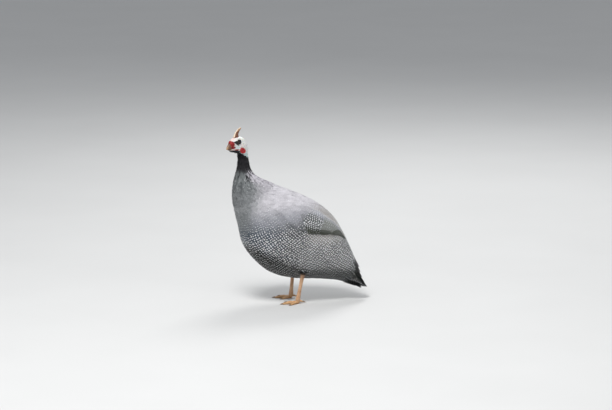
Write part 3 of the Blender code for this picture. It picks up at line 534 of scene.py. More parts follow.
class Graph:
    """A short way to write node trees. Its methods return signals."""

    def __init__(self, tree, result):
        self.tree, self.result = tree, result

    def put(self, socket, value):
        if isinstance(value, Signal):
            self.tree.links.new(value.socket, socket)
            return
        if np.ndim(value) and len(value) == 3 and len(socket.default_value) == 4:
            value = (*value, 1.0)
        socket.default_value = value

    def put_named(self, sockets, values):
        for key, value in values.items():
            self.put(sockets[key.replace("_", " ")], value)

    def give(self, **values):
        """Sets sockets of the node that the tree ends in."""
        self.put_named(self.result, values)

    def add(self, kind, output=0, settings=(), first=(), **inputs):
        """The output of a new node, given its first inputs in order and others by name."""
        node = self.tree.nodes.new("ShaderNode" + kind)
        for key, value in dict(settings).items():
            setattr(node, key, value)
        for socket, value in zip(node.inputs, first):
            self.put(socket, value)
        self.put_named(node.inputs, inputs)
        return Signal(self, node.outputs[output])

    def math(self, operation, *values):
        return self.add("Math", 0, {"operation": operation}, values)

    def vector(self, operation, *values, output=0):
        return self.add("VectorMath", output, {"operation": operation}, values)

    def largest(self, first, *others):
        for other in others:
            first = self.math("MAXIMUM", first, other)
        return first

    def split(self, whole, kind="XYZ"):
        """The three parts of a vector, or of a colour."""
        part = self.add("Separate" + kind, 0, (), (whole,))
        return [Signal(self, socket) for socket in part.socket.node.outputs[:3]]

    def mix(self, share, a, b):
        return self.add("Mix", "Result", {"data_type": "RGBA"}, Factor=share, A=a, B=b)

    def tint(self, colour, share):
        """The colour made lighter or darker: multiplied by share."""
        return self.add("VectorMath", 0, {"operation": "SCALE"}, (colour,), Scale=share)

    def ramp(self, value, low, high, start=0.0, end=1.0):
        """Start at low, end at high, smooth between."""
        settings = {"interpolation_type": "SMOOTHSTEP"}
        return self.add("MapRange", "Result", settings, (value, low, high, start, end))

    def noise(self, place, scale, detail=2.0, roughness=0.5, stretch=None, output="Fac"):
        if stretch is not None:
            place = self.vector("MULTIPLY", place, stretch)
        return self.add("TexNoise", output, Vector=place, Scale=scale, Detail=detail, Roughness=roughness)

    def cells(self, place, scale, feature="F1"):
        """Distance to the middle, or to the edge, of random cells."""
        return self.add("TexVoronoi", "Distance", {"feature": feature}, Vector=place, Scale=scale)

    def position(self):
        return self.add("NewGeometry", "Position")

    def attribute(self, name, output="Color"):
        return self.add("Attribute", output, {"attribute_name": name})

    def bump(self, height, strength, distance):
        return self.add("Bump", Height=height, Strength=strength, Distance=distance)

    def group(self, name, **inputs):
        """The outputs of a node group, by name."""
        first = self.add("Group", 0, {"node_tree": bpy.data.node_groups[name]}, **inputs)
        return {socket.name: Signal(self, socket) for socket in first.socket.node.outputs}


def new_group(name, inputs, *outputs):
    """The graph of a new shader node group, and its inputs as signals."""
    tree = bpy.data.node_groups.new(name, "ShaderNodeTree")
    for label, kind, value in inputs:
        socket = tree.interface.new_socket(label, in_out="INPUT", socket_type="NodeSocket" + kind)
        if value is not None:
            socket.default_value = value
    for label, kind in outputs:
        tree.interface.new_socket(label, in_out="OUTPUT", socket_type="NodeSocket" + kind)
    graph = Graph(tree, tree.nodes.new("NodeGroupOutput").inputs)
    given = tree.nodes.new("NodeGroupInput").outputs[: len(inputs)]
    return graph, *(Signal(graph, socket) for socket in given)


def new_material(name, **constants):
    """A material and its graph, with plain values set on the shader's own sockets."""
    made = bpy.data.materials.new(name)
    made.use_nodes = True
    graph = Graph(made.node_tree, made.node_tree.nodes["Principled BSDF"].inputs)
    graph.give(**constants)
    return made, graph


def build_vane_group():
    """Markings and barbs of a feather, from its own map: millimetres from the shaft and from the tip."""
    graph, ground, dot_size, dot_ring, lines, chance, spacing, dot_colour = new_group(
        "vane markings",
        [
            ("Ground", "Color", (0.5, 0.5, 0.5, 1)),
            ("Dot Size", "Float", 0.0),
            ("Dot Ring", "Float", 0.0),
            ("Lines", "Float", 0.0),
            ("Chance", "Float", 0.5),
            ("Dot Spacing", "Float", 4.2),
            ("Dot Colour", "Color", (0.85, 0.86, 0.87, 1)),
        ],
        ("Color", "Color"),
        ("Height", "Float"),
    )
    across, down, _ = graph.split(graph.add("UVMap", 0, {"uv_map": "Vane"}))
    out = graph.math("ABSOLUTE", across)
    place = graph.position()
    # Dots in two columns and rows down the vane, a little off their lattice
    half = spacing * 0.5
    column = (graph.noise(place, 300.0, 1.0) - 0.5) * 0.9 + out - half
    row = half - graph.math("PINGPONG", down + 0.2, half)
    away = graph.math("SQRT", column * column + row * row)
    radius = dot_size * (spacing * DOT_SHARE)
    seen = graph.ramp(dot_size, 0.05, 0.3)
    dot = graph.ramp(away, radius + DOT_SOFTNESS, radius - DOT_SOFTNESS) * seen
    ring = graph.ramp(away, radius + DOT_RING, radius) * dot_ring * seen
    colour = graph.tint(ground, 1.0 - ring * 0.55)
    # Fine lines along the vane
    line = graph.ramp(graph.math("SINE", out * 3.3), 0.2, 0.95) * lines
    colour = graph.mix(line * 0.6, colour, dot_colour)
    colour = graph.mix(dot * 0.92, colour, dot_colour)
    # Barbs slant out from a pale shaft
    barbs = graph.math("SINE", (down + out * -0.75) * 15.0) * graph.noise(place, 900.0)
    shaft = graph.ramp(out, 0.28, 0.08)
    mottle = graph.ramp(graph.noise(place, 60.0, 3.0), 0.25, 0.75, 0.94, 1.06)
    for share in (barbs * 0.10 + 0.98, (chance - 0.5) * 0.12 + 1.0, shaft * 0.18 + 1.0, mottle):
        colour = graph.tint(colour, share)
    graph.give(Color=colour, Height=shaft * 1.2 + barbs * 0.8)


def plumage_material(name, dot_spacing, roughness=0.62):
    """Feathers whose ground tone and markings are kept on each feather."""
    made, graph = new_material(name, Roughness=roughness, Sheen_Weight=0.15, Sheen_Roughness=0.4,
                               Specular_IOR_Level=0.3)
    dot_size, dot_ring, lines = graph.split(graph.attribute("marks"), "Color")
    vane = graph.group(
        "vane markings",
        Ground=graph.attribute("ground"),
        Dot_Size=dot_size,
        Dot_Ring=dot_ring,
        Lines=lines,
        Chance=graph.attribute("chance", "Fac"),
        Dot_Spacing=dot_spacing,
        Dot_Colour=(0.90, 0.91, 0.92),
    )
    graph.give(Base_Color=vane["Color"], Normal=graph.bump(vane["Height"], 0.35, 0.0002))
    return made


# The body's surface


class Sheet:
    """A surface kept as a grid of points and normals, with its size in metres along and across."""

    def __init__(self, points, normals, wraps):
        self.points, self.normals, self.wraps = points, normals, wraps
        along = np.linalg.norm(np.gradient(points, axis=0), axis=-1)
        if wraps:
            step = np.roll(points, -1, axis=1) - np.roll(points, 1, axis=1)
        else:
            step = np.gradient(points, axis=1) * 2
        self.along = along
        self.across = np.linalg.norm(step, axis=-1) / 2

    def read(self, grid, i, j):
        """Values of a grid at rows i and columns j, which may be fractions."""
        rows, columns = grid.shape[:2]
        i = np.clip(i, 0, rows - 1.001)
        if not self.wraps:
            j = np.clip(j, 0, columns - 1.001)
        i0, j0 = np.floor(i).astype(int), np.floor(j).astype(int)
        fi, fj = i - i0, j - j0
        j0, j1 = j0 % columns, (j0 + 1) % columns
        if grid.ndim == 3:
            fi, fj = fi[..., None], fj[..., None]
        top = grid[i0, j0] * (1 - fj) + grid[i0, j1] * fj
        low = grid[i0 + 1, j0] * (1 - fj) + grid[i0 + 1, j1] * fj
        return top * (1 - fi) + low * fi

    def at(self, i, j):
        return self.read(self.points, i, j), unit(self.read(self.normals, i, j))


def body_rings(ts):
    """Cross sections of the body at each t, in stations from the neck's top."""
    back_x, back_z, belly_x, belly_z, half_width, belly_fullness = through(BODY_STATIONS, ts).T
    turn = turns(GRID_SIDES)
    c, s = np.cos(turn)[None, :], np.sin(turn)[None, :]
    power = np.where(c > 0, 2 / BACK_FULLNESS, 2 / belly_fullness[:, None])
    high = np.sign(c) * np.abs(c) ** power
    wide = np.sign(s) * np.abs(s) ** power * half_width[:, None]
    x = (back_x + belly_x)[:, None] / 2 + high * (back_x - belly_x)[:, None] / 2
    z = (back_z + belly_z)[:, None] / 2 + high * (back_z - belly_z)[:, None] / 2
    return np.stack([x, wide, z], axis=-1)


def grid_normals(points):
    """Outward normals of a tube of points."""
    along = np.gradient(points, axis=0)
    around = np.roll(points, -1, axis=1) - np.roll(points, 1, axis=1)
    normals = unit(np.cross(around, along))
    middle = points.mean(axis=1, keepdims=True)
    return normals if ((points - middle) * normals).sum() > 0 else -normals


def wing_share(x, z):
    """How far along and up the wing points of the side view lie, as u and v."""
    u = (x - WING_SHOULDER_X) / WING_LENGTH
    outline = np.array(WING_OUTLINE)
    t = place_on(outline[:, 0], u)
    edges = through(outline, t.ravel()).reshape(*t.shape, 3)
    upper, lower = edges[..., 1], edges[..., 2]
    v = (z - (upper + lower) / 2) / ((upper - lower) / 2)
    return u, v


def wing_swell(u, v):
    """How far the folded wing stands out from the body."""
    across = np.where(v < 0, np.maximum(0, 1 - np.abs(v) ** 5) ** 0.5, np.maximum(0, 1 - v * v) ** 0.7)
    along = np.maximum(0, 1 - (2 * np.clip(u, 0, 1) - 1) ** 4) ** 0.5
    return WING_DEPTH * np.where((np.abs(v) < 1) & (u > 0) & (u < 1), across * along, 0)


def make_body_sheets():
    """The body's surface to its tail, and the same with the folded wings on it."""
    last = len(BODY_STATIONS) - 1
    ts = np.linspace(0, last, last * GRID_ROWS_PER_STATION + 1)
    points = body_rings(ts)
    normals = grid_normals(points)
    u, v = wing_share(points[..., 0], points[..., 2])
    swell = wing_swell(u, v) * smooth(np.abs(normals[..., 1]), 0.15, 0.4)
    points = points + np.array(BODY_OFFSET)
    bare = Sheet(points, normals, True)
    winged = Sheet(points + normals * swell[..., None], normals, True)
    return bare, winged


# Feathers


def on_spots(points, normals, ways):
    """A place function for straight feathers that start at points and point along ways."""
    sides = np.cross(normals, ways)[:, None, None, :]
    points, normals, ways = (v[:, None, None, :] for v in (points, normals, ways))

    def place(along, across):
        made = points + ways * along[..., None] + sides * across[..., None]
        return made, np.broadcast_to(normals, made.shape)

    return place


def scatter(points, faces, share, number, rng):
    """Random spots on triangles, with normals, where share gives each triangle's chance."""
    a, b, c = (points[faces[:, k]] for k in range(3))
    cross = np.cross(b - a, c - a)
    weight = np.linalg.norm(cross, axis=1) * share
    chosen = rng.choice(len(faces), number, p=weight / weight.sum())
    u, v = rng.uniform(0, 1, (2, number, 1))
    u, v = np.where(u + v > 1, 1 - u, u), np.where(u + v > 1, 1 - v, v)
    spots = a[chosen] + (b - a)[chosen] * u + (c - a)[chosen] * v
    return spots, unit(cross[chosen])


def outline_share(kind, s):
    """Half width of a vane at s along it, as a share of its widest."""
    root, full, turn, power, blunt = OUTLINES[kind]
    grown = np.minimum(1, root + (1 - root) * s / full)
    ending = np.clip((s - turn) / (1 - turn), 0, 1)
    return np.maximum(0.05, grown * np.maximum(0, 1 - ending ** power) ** blunt)


class Plumage:
    """Feathers gathered for one piece. Each is a thin closed lens: a cambered vane over a flat back."""

    def __init__(self, kind, rows, columns):
        self.kind, self.rows, self.columns = kind, rows, columns
        self.kept = {name: [] for name in ("points", "vane", "patch", "ground", "marks", "chance")}

    def lay(self, place, length, width, root_lift, tip_lift, ground, marks, roots, rng,
            camber=0.0005, tilt=0.0004, ragged=0.06, bend=1.3, sweep=0.0):
        """Lays feathers. place(along, across) gives points and normals for metres from the roots."""
        count = len(length)
        shape = (count, self.rows, self.columns)
        length, width, tip_lift, sweep = (np.reshape(v, (-1, 1, 1)) for v in (length, width, tip_lift, sweep))
        s = (1 - (1 - np.linspace(0, 1, self.rows)) ** 1.5)[None, :, None]
        c = np.linspace(-1, 1, self.columns)[None, None, :]
        edge = np.abs(c) ** 3
        uneven = 1 + edge * ragged * rng.uniform(-1, 1, shape) * (s > 0.3)
        even_across = c * width / 2 * outline_share(self.kind, s)
        points, normals = place(s * length * (1 - 0.04 * edge), even_across * uneven + sweep * s ** 2)
        lift = root_lift + (tip_lift - root_lift) * s ** bend
        side = rng.choice((-1.0, 1.0), count)[:, None, None]
        lift = lift + camber * (1 - c * c) + tilt * c * side

        def grid(*values):
            return np.stack([np.broadcast_to(value, shape) for value in values], axis=-1)

        new = {
            "points": points + normals * lift[..., None],
            "vane": grid(even_across, (1 - s) * length) / MM,
            "patch": grid(roots[:, 0, None, None] + PATCH * (c + 1) / 2, roots[:, 1, None, None] + PATCH * s),
            "ground": grid(*ground.T[..., None, None]),
            "marks": grid(*marks.T[..., None, None]),
            "chance": grid(rng.uniform(0, 1, count)[:, None, None]),
        }
        for name, values in new.items():
            self.kept[name].append(values)

    def make(self, name, slot, material):
        """Makes one piece of all feathers laid so far."""
        rows, columns = self.rows, self.columns
        each = rows * columns
        kept = {key: np.concatenate(values) for key, values in self.kept.items()}
        count = len(kept["points"])
        kept = {key: values.reshape(count * each, -1) for key, values in kept.items()}
        a = (np.arange(rows - 1)[:, None] * columns + np.arange(columns - 1)).ravel()
        top = np.stack([a, a + 1, a + 1 + columns, a + columns], axis=-1)
        left = np.arange(rows - 1) * columns
        under = np.stack([left, left + columns, left + 2 * columns - 1, left + columns - 1], axis=-1)
        ends = np.stack([np.arange(columns)[::-1], (rows - 1) * columns + np.arange(columns)])
        offset = (np.arange(count) * each)[:, None, None]
        quads = np.concatenate([top, under])
        groups = [(quads + offset).reshape(-1, 4), (ends + offset).reshape(-1, columns)]
        made = mesh_object(name, kept["points"], groups, material, FEATHER_SMOOTH_ANGLE)
        mesh = made.data
        corners = np.concatenate([group.ravel() for group in groups])
        write_map(mesh, "Vane", kept["vane"][corners])
        # The flat backs get a narrow strip beside each feather's patch
        patch = kept["patch"][corners]
        on_back = np.tile(np.repeat([0, 1], [top.size, under.size]), count)
        patch[: len(on_back), 0] += on_back * PATCH * 1.05
        write_map(mesh, "OFBake", patch)
        mesh.uv_layers.active = mesh.uv_layers["OFBake"]
        ones = np.ones((count * each, 1))
        for key in ("ground", "marks"):
            write_attribute(mesh, key, "FLOAT_COLOR", np.hstack([kept[key], ones]))
        write_attribute(mesh, "chance", "FLOAT", kept["chance"])
        dress(made, slot)


def on_sheet(sheet, i, j):
    """A place function for feathers rooted at rows i and columns j of a sheet, lying along its rows."""
    along_size = np.maximum(sheet.read(sheet.along, i, j), 1e-5)[:, None, None]
    across_size = np.maximum(sheet.read(sheet.across, i, j), 1e-5)[:, None, None]

    def place(along, across):
        return sheet.at(i[:, None, None] + along / along_size, j[:, None, None] + across / across_size)

    return place


def wing_dark(points):
    """How much points lie among the wing's dark spotted coverts."""
    u, v = wing_share(points[:, 0] - BODY_OFFSET[0], points[:, 2])
    return smooth(u, 0.27, 0.42) * smooth(v - 0.9 * (u - 0.4), 0.62, 0.12) * (v > -1.0) * (u < 1)


def body_tones(points, normals, rng):
    """Ground tone and markings of each body feather, from where its tip lies, in metres. Painted shade
    darkens the coat down its flanks to the belly, and painted light makes the rump pale where it faces up.
    """
    x, _, z = points.T
    x = x - BODY_OFFSET[0]
    dark = wing_dark(points)
    # The front of neck and breast is a darker grey, which reaches further round the neck
    reach = np.clip(0.25 - 9 * (z - 0.25), -0.35, 0.45)
    in_front = smooth(-normals[:, 0] - reach, 0, 0.45) * smooth(x, -0.07, -0.12)
    # Painted shade under the belly starts below this height: the near-black under tone, and dots half as
    # large
    belly_shade_edge = 0.092 - 0.5 * np.clip(x, -0.13, 0)
    # Painted shade: the flank, rear flank, under and vent tones darken the coat below the pale mantle and
    # sides, near black under the belly and behind the legs
    ground = np.tile(TONES["flank"], (len(x), 1))
    for name, share in (
        ("slate", smooth(x, -0.04, -0.10)),
        ("rear flank", smooth(x, 0.0, 0.06) * smooth(z, 0.105, 0.135)),
        ("buff", smooth(z, 0.155, 0.178) * smooth(x, -0.02, 0.03) * 0.75),
        ("side", smooth(z, 0.185, 0.235) * smooth(x, 0.06, -0.03)),
        ("mantle", smooth(z, 0.228, 0.268)),
        # Painted light: feathers behind that face up take the pale rump tone
        ("rump", smooth(normals[:, 2], 0.45, 0.85) * smooth(x, 0.04, 0.10) * 0.8),
        ("low neck", in_front * smooth(z, 0.17, 0.23) * 0.85),
        ("covert", dark * 0.85),
        ("under", smooth(z, belly_shade_edge + 0.018, belly_shade_edge - 0.014)),
        ("vent", smooth(x, 0.02, 0.09) * smooth(z, 0.135, 0.095)),
    ):
        ground = blend_tones(ground, name, share)
    size = smooth(z, 0.262, 0.19) * 0.55 + smooth(z, 0.235, 0.16) * 0.45
    size = size * (1 - 0.75 * in_front * smooth(z, 0.16, 0.22))
    # Larger dots where the rump faces up, part of the same painted light
    size = np.maximum(size, 0.5 * smooth(normals[:, 2], 0.25, 0.8) * smooth(x, 0.03, 0.1))
    size = np.maximum(size, 0.85 * dark)
    size = np.maximum(size, 0.38 - 0.16 * in_front * smooth(z, 0.2, 0.25))
    # Dots half as large under the belly, part of its painted shade
    size = size * (1 - 0.5 * smooth(z, belly_shade_edge + 0.01, belly_shade_edge - 0.02))
    size = size * rng.uniform(0.88, 1.12, len(x))
    ring = np.maximum(0.35 + 0.65 * smooth(z, 0.26, 0.17), dark)
    streak = 0.35 * in_front * smooth(z, 0.2, 0.25)
    return ground, np.stack([size, ring, streak], axis=-1)


def sheet_roots(sheet, i, j):
    """Where feathers' patches lie on an unwrap of the body."""
    rows, columns = sheet.points.shape[:2]
    return np.stack([0.01 + 0.97 * (j % columns) / columns, 0.01 + 0.97 * i / rows], axis=-1)


def staggered_places(sheet, first, last, row_step, side_step, rng, jitter=0.12):
    """Rows and columns of feather roots on a sheet, spaced in metres and staggered like shingles."""
    columns = sheet.points.shape[1]
    # Rows are spaced along the longest line, which is the belly's
    row_gaps = np.linalg.norm(np.diff(sheet.points, axis=0), axis=-1).max(axis=1)
    line = np.concatenate([[0], np.cumsum(row_gaps)])
    start, end = np.interp((first, last), np.arange(len(line)), line)
    lengths = np.arange(start, end, row_step)
    places = []
    for k, length in enumerate(lengths):
        i = place_on(line, length)
        ring = sheet.read(sheet.across, np.full(columns, i), np.arange(columns, dtype=float))
        round_ring = np.concatenate([[0], np.cumsum(ring)])
        number = max(8, int(round(round_ring[-1] / side_step)))
        spots = (np.arange(number) + (k % 2) / 2 + rng.uniform(-jitter, jitter, number)) / number
        j = place_on(round_ring, (spots % 1) * round_ring[-1])
        places.append(np.stack([i + rng.uniform(-jitter, jitter, number), j], axis=-1))
    i, j = np.concatenate(places).T
    return i, j


def wing_cover(points):
    """Whether the wing's own quills and greater coverts cover the body's feathers at each point."""
    u, v = wing_share(points[:, 0] - BODY_OFFSET[0], points[:, 2])
    return (u > 0.50) & (u < 0.98) & (v > -0.98) & (v < 0.60)


def make_body_feathers(winged, material, rng):
    """Contour feathers of back, breast, flanks and belly, one piece for each side."""
    start, end = 2.2 * GRID_ROWS_PER_STATION, (len(BODY_STATIONS) - 1.35) * GRID_ROWS_PER_STATION
    i, j = staggered_places(winged, start, end, BODY_FEATHER_STEP, BODY_FEATHER_STEP, rng)
    tips, normals = winged.at(i + 3, j)
    keep = ~wing_cover(tips)
    i, j, tips, normals = i[keep], j[keep], tips[keep], normals[keep]
    tones = body_tones(tips, normals, rng)
    root_lift, low_lift, more_lift = FEATHER_LIFTS["body"]
    sizes = 1 - 0.25 * smooth(i, 5 * GRID_ROWS_PER_STATION, 2 * GRID_ROWS_PER_STATION)
    for side_name, chosen in (("left", tips[:, 1] < 0), ("right", tips[:, 1] >= 0)):
        row, column, size, ground, marks = (values[chosen] for values in (i, j, sizes, *tones))
        count = len(row)
        plumage = Plumage("contour", 11, 7)
        length = BODY_FEATHER_LENGTH * size * rng.uniform(0.92, 1.08, count)
        width = BODY_FEATHER_WIDTH * size * rng.uniform(0.94, 1.06, count)
        tip_lift = low_lift + more_lift * rng.uniform(0, 1, count)
        plumage.lay(on_sheet(winged, row, column), length, width, root_lift, tip_lift, ground, marks,
                    sheet_roots(winged, row, column), rng, sweep=rng.normal(0, 0.0006, count))
        plumage.make(f"body_feathers_{side_name}", "body_plumage", material)


def make_neck_feathers(bare, material, rng):
    """Narrow feathers of the neck: black at the top, streaked in front and pale behind."""
    rows = GRID_ROWS_PER_STATION
    i, j = staggered_places(bare, 0.02 * rows, 4.4 * rows, *NECK_FEATHER_STEPS, rng, 0.25)
    tips, normals = bare.at(i + 2, j)
    count = len(i)
    z = tips[:, 2]
    behind = smooth(normals[:, 0], -0.25, 0.55)
    ground, _ = body_tones(tips, normals, rng)
    # Streaks run down the neck over several feathers
    streak = np.array([noise.noise(Vector((x * 330, y * 330, h * 50))) for x, y, h in tips])
    streak = smooth(streak + rng.normal(0, 0.08, count), -0.08, 0.30)
    black_z = 0.343 - 0.022 * streak * (1 - 0.5 * behind) - 0.006 * rng.uniform(0, 1, count)
    for name, share in (
        ("low neck", (1 - behind) * smooth(z, 0.28, 0.32) * 0.8),
        ("nape", behind * smooth(z, 0.27, 0.31) * 0.6),
        ("streak", streak * (1 - 0.75 * behind) * smooth(z, 0.265, 0.325) * 0.6),
        ("black", smooth(z, black_z - 0.009, black_z + 0.003)),
    ):
        ground = blend_tones(ground, name, share)
    small = smooth(z, 0.30, 0.35)
    length = (NECK_FEATHER_LENGTH - NECK_FEATHER_LOSS[0] * small) * rng.uniform(0.85, 1.15, count)
    width = (NECK_FEATHER_WIDTH - NECK_FEATHER_LOSS[1] * small) * rng.uniform(0.85, 1.15, count)
    plumage = Plumage("lance", 8, 4)
    root_lift, low_lift, more_lift = FEATHER_LIFTS["neck"]
    tip_lift = low_lift + more_lift * rng.uniform(0, 1, count)
    plumage.lay(on_sheet(bare, i, j), length, width, root_lift, tip_lift, ground, np.zeros((count, 3)),
                sheet_roots(bare, i, j), rng, camber=0.0003, tilt=0.0003, sweep=rng.normal(0, 0.0007, count))
    plumage.make("neck_feathers", "neck_plumage", material)


def body_tree(winged):
    """The body's surface with its wings, for casting rays at."""
    faces = tube_faces(*winged.points.shape[:2])
    return BVHTree.FromPolygons(winged.points.reshape(-1, 3).tolist(), faces.tolist())


def depth_inside(tree, point):
    """How far a point lies inside a closed surface, or minus how far outside."""
    start = Vector(point)
    away = tree.find_nearest(start)[3]
    crossings = 0
    while crossings < 20:
        struck = tree.ray_cast(start, Vector((0, 0, 1)))[0]
        if struck is None:
            break
        crossings += 1
        start = struck + Vector((0, 0, 1e-6))
    return away if crossings % 2 else -away


def thigh_sheet(side, hock, joint):
    """The drumstick's surface, which ends in a cuff round the top of the bare shank."""
    top, foot, _ = leg_points(side, hock, joint)
    lower = unit(foot - top)
    centres = [top + lower * CUFF_LENGTH * share for share in np.linspace(0, 1, CUFF_RINGS)]
    radius = np.linspace(CUFF_RADIUS + 0.0009, HOCK_RADIUS + 0.0016, CUFF_RINGS)
    cuff = rings_about(centres, [lower] * CUFF_RINGS, (1, 0, 0.2), radius, radius, 48)
    rings = np.concatenate([drumstick_rings(side, hock, joint, THIGH_DEPTH)[:-3], cuff])
    return Sheet(rings, grid_normals(rings), True)


def make_thigh_feathers(winged, material, rng):
    """Feathers of the drumsticks, dark with the belly's painted shade, where these come out from under the
    flank.
    """
    tree = body_tree(winged)
    plumage = Plumage("contour", 9, 5)
    root_lift, low_lift, more_lift = FEATHER_LIFTS["thigh"]
    for side, hock, joint, _ in LEGS.values():
        sheet = thigh_sheet(side, hock, joint)
        i, j = staggered_places(sheet, 3, 41, THIGH_FEATHER_STEP, THIGH_FEATHER_STEP, rng)
        tips, normals = sheet.at(i + 4, j)
        # The upper ones are left out under the flank, and the cuff's are kept
        reach = -0.002 + 0.010 * smooth(i, 22, 32)
        outside = np.array([depth_inside(tree, tip) for tip in tips]) < reach
        i, j, tips, normals = i[outside], j[outside], tips[outside], normals[outside]
        count = len(i)
        ground, marks = body_tones(tips, normals, rng)
        size = 1 - 0.5 * smooth(i, 20, 38)
        length = THIGH_FEATHER_LENGTH * size * rng.uniform(0.9, 1.1, count)
        tip_lift = low_lift + more_lift * rng.uniform(0, 1, count)
        width = THIGH_FEATHER_WIDTH * size
        plumage.lay(on_sheet(sheet, i, j), length, width, root_lift, tip_lift, ground, marks,
                    sheet_roots(sheet, i, j) * 0.5 + 0.2, rng)
    plumage.make("thigh_feathers", "dark_plumage", material)


def wing_sheet(winged):
    """The left wing's outer face as a grid: rows along it from the shoulder, columns from low to high."""
    tree = body_tree(winged)
    us, vs = np.linspace(-0.05, 1.12, 90), np.linspace(-1.15, 1.15, 60)
    outline = np.array(WING_OUTLINE)
    ts = place_on(outline[:, 0], us)
    edges = through(outline, ts)
    points = np.zeros((len(us), len(vs), 3))
    normals = np.zeros_like(points)
    for a, u in enumerate(us):
        x = WING_SHOULDER_X + WING_LENGTH * u + BODY_OFFSET[0]
        middle, half = (edges[a, 1] + edges[a, 2]) / 2, (edges[a, 1] - edges[a, 2]) / 2
        for b, v in enumerate(vs):
            hit, normal, _, _ = tree.ray_cast(Vector((x, -0.2, middle + v * half)), Vector((0, 1, 0)))
            if hit is None:
                hit, normal, _, _ = tree.find_nearest(Vector((x, -0.02, middle + v * half)))
            points[a, b] = hit
            normals[a, b] = normal if normal.y < 0 else -normal
    # Normals are evened out, so that the step at the wing's edge doesn't splay its feathers
    for _ in range(12):
        padded = np.pad(normals, ((1, 1), (1, 1), (0, 0)), mode="edge")
        normals = unit(padded[1:-1, 1:-1] * 2 + padded[:-2, 1:-1] + padded[2:, 1:-1] + padded[1:-1, :-2]
                       + padded[1:-1, 2:])
    return Sheet(points, normals, False), us, vs


# Tiers of wing feathers from the quills up: how many, tip u at the lower and upper edge, tip v at
# both, length, width, lift at root and tip, kind of marking
WING_TIERS = {
    "primaries": (7, (1.00, 0.90), (-0.85, -0.25), 0.085, 0.0150, -0.0010, 0.0012, "band"),
    "secondaries": (15, (0.76, 0.93), (-0.88, 0.92), 0.080, 0.0135, -0.0010, 0.0019, "lines"),
    "greater coverts": (14, (0.60, 0.70), (-0.90, 0.90), 0.040, 0.0130, -0.0010, 0.0016, "dots"),
    "median coverts": (14, (0.545, 0.64), (-0.92, 0.88), 0.034, 0.0130, -0.0010, 0.0014, "dots"),
}


def wing_tones(kind, tip_v, rng):
    """Ground tone and markings of one tier of wing feathers, darker along the wing's lower edge."""
    number = len(tip_v)
    low = smooth(tip_v, -0.5, -0.85)
    none = np.zeros(number)
    if kind == "band":
        ground = np.tile(TONES["wing band"], (number, 1)) * rng.uniform(0.9, 1.3, (number, 1))
        return ground, np.stack([none, none, none + 0.25], axis=-1)
    if kind == "dots":
        pale = smooth(tip_v, 0.1, 0.75)
        ground = blend_tones(np.tile(TONES["covert"], (number, 1)), "side", pale)
        marks = np.stack([(0.95 - 0.35 * pale) * (1 - 0.6 * low), 0.9 - 0.5 * pale, none], axis=-1)
    else:
        ground = blend_tones(np.tile(TONES["quill"], (number, 1)), "side", smooth(tip_v, 0.3, 0.8))
        marks = np.outer(1 - low, (0.5, 0.5, 0.55))
    return blend_tones(ground, "wing band", low), marks


def make_wing_feathers(sheet, us, vs, side_name, material, rng):
    """Quills and coverts of one folded wing in overlapping tiers."""
    mirror = (1, 1, 1) if side_name == "left" else (1, -1, 1)
    plumage = Plumage("flight", 16, 7)
    for number, tip_us, tip_vs, long, wide, root_lift, tip_lift, kind in WING_TIERS.values():
        t = np.arange(number) / (number - 1)
        tip_u = between(tip_us, t) + rng.normal(0, 0.006, number)
        tip_v = between(tip_vs, t) + rng.normal(0, 0.01, number)
        length = long * rng.uniform(0.97, 1.03, number)
        root_u = tip_u - length / (WING_LENGTH * 1.08)
        root_v = tip_v * 0.88 + 0.08
        rows = [place_on(us, u)[:, None, None] for u in (root_u, tip_u)]
        columns = [place_on(vs, v)[:, None, None] for v in (root_v, tip_v)]

        def place(along, across):
            share = along / length[:, None, None]
            i, j = between(rows, share), between(columns, share)
            width_here = np.maximum(sheet.read(sheet.across, i, j), 2e-4)
            points, normals = sheet.at(i, j + across / width_here)
            return points * mirror, normals * mirror

        ground, marks = wing_tones(kind, tip_v, rng)
        roots = np.stack([0.02 + 0.9 * (root_u + 0.3) / 1.4, 0.02 + 0.9 * (root_v + 1.2) / 2.4], axis=-1)
        tip_lifts = tip_lift * (1 - 0.6 * smooth(tip_v, 0.4, 0.9)) + rng.uniform(0, 0.0003, number)
        plumage.lay(place, length, wide, root_lift, tip_lifts, ground, marks, roots, rng,
                    camber=0.0006, tilt=0.0002, ragged=0.03, bend=0.9)
    plumage.make(f"wing_feathers_{side_name}", "quill_feathers", material)


# Tiers of tail feathers: how many, x and z of the middle one's root, droop below level in degrees,
# length, step to the side, spread and tilt in degrees from each to the next, width, facing, tone,
# how much of the rump's pale tone the middle ones have, size of the dots
QUILL_STEP = 0.0023
# The rump's pale tone on the middle feathers of the upper tiers is painted light on the tail's top, and the
# tail and vent tones of the rest are painted shade on its sides and underside
TAIL_TIERS = {
    "quills": (14, (0.1310, 0.0900), 55, 0.0760, QUILL_STEP, 1.3, 5.0, 0.0150, 1, "tail", 0, 0.5),
    "second quills": (12, (0.1330, 0.0925), 57, 0.0640, 0.0026, 1.4, 5.5, 0.0150, 1, "tail", 0, 0.5),
    "upper coverts": (11, (0.1385, 0.0950), 62, 0.0480, 0.0031, 1.5, 6.0, 0.0130, 1, "tail", 0.45, 0.6),
    "low rump": (11, (0.1395, 0.1020), 64, 0.0400, 0.0034, 1.6, 6.5, 0.0130, 1, "tail", 0.75, 0.6),
    "rump": (11, (0.1400, 0.1090), 65, 0.0330, 0.0036, 1.6, 7.0, 0.0130, 1, "tail", 0.95, 0.6),
    "under coverts": (11, (0.1230, 0.0440), 25, 0.0410, 0.0037, 1.2, 4.5, 0.0130, -1, "vent", 0, 0.7),
    "short under": (11, (0.1130, 0.0430), 18, 0.0360, 0.0040, 1.0, 4.0, 0.0130, -1, "vent", 0, 0.7),
}
# How far a feather one quill's step from the middle lies below it
TAIL_ROOF = 0.00095


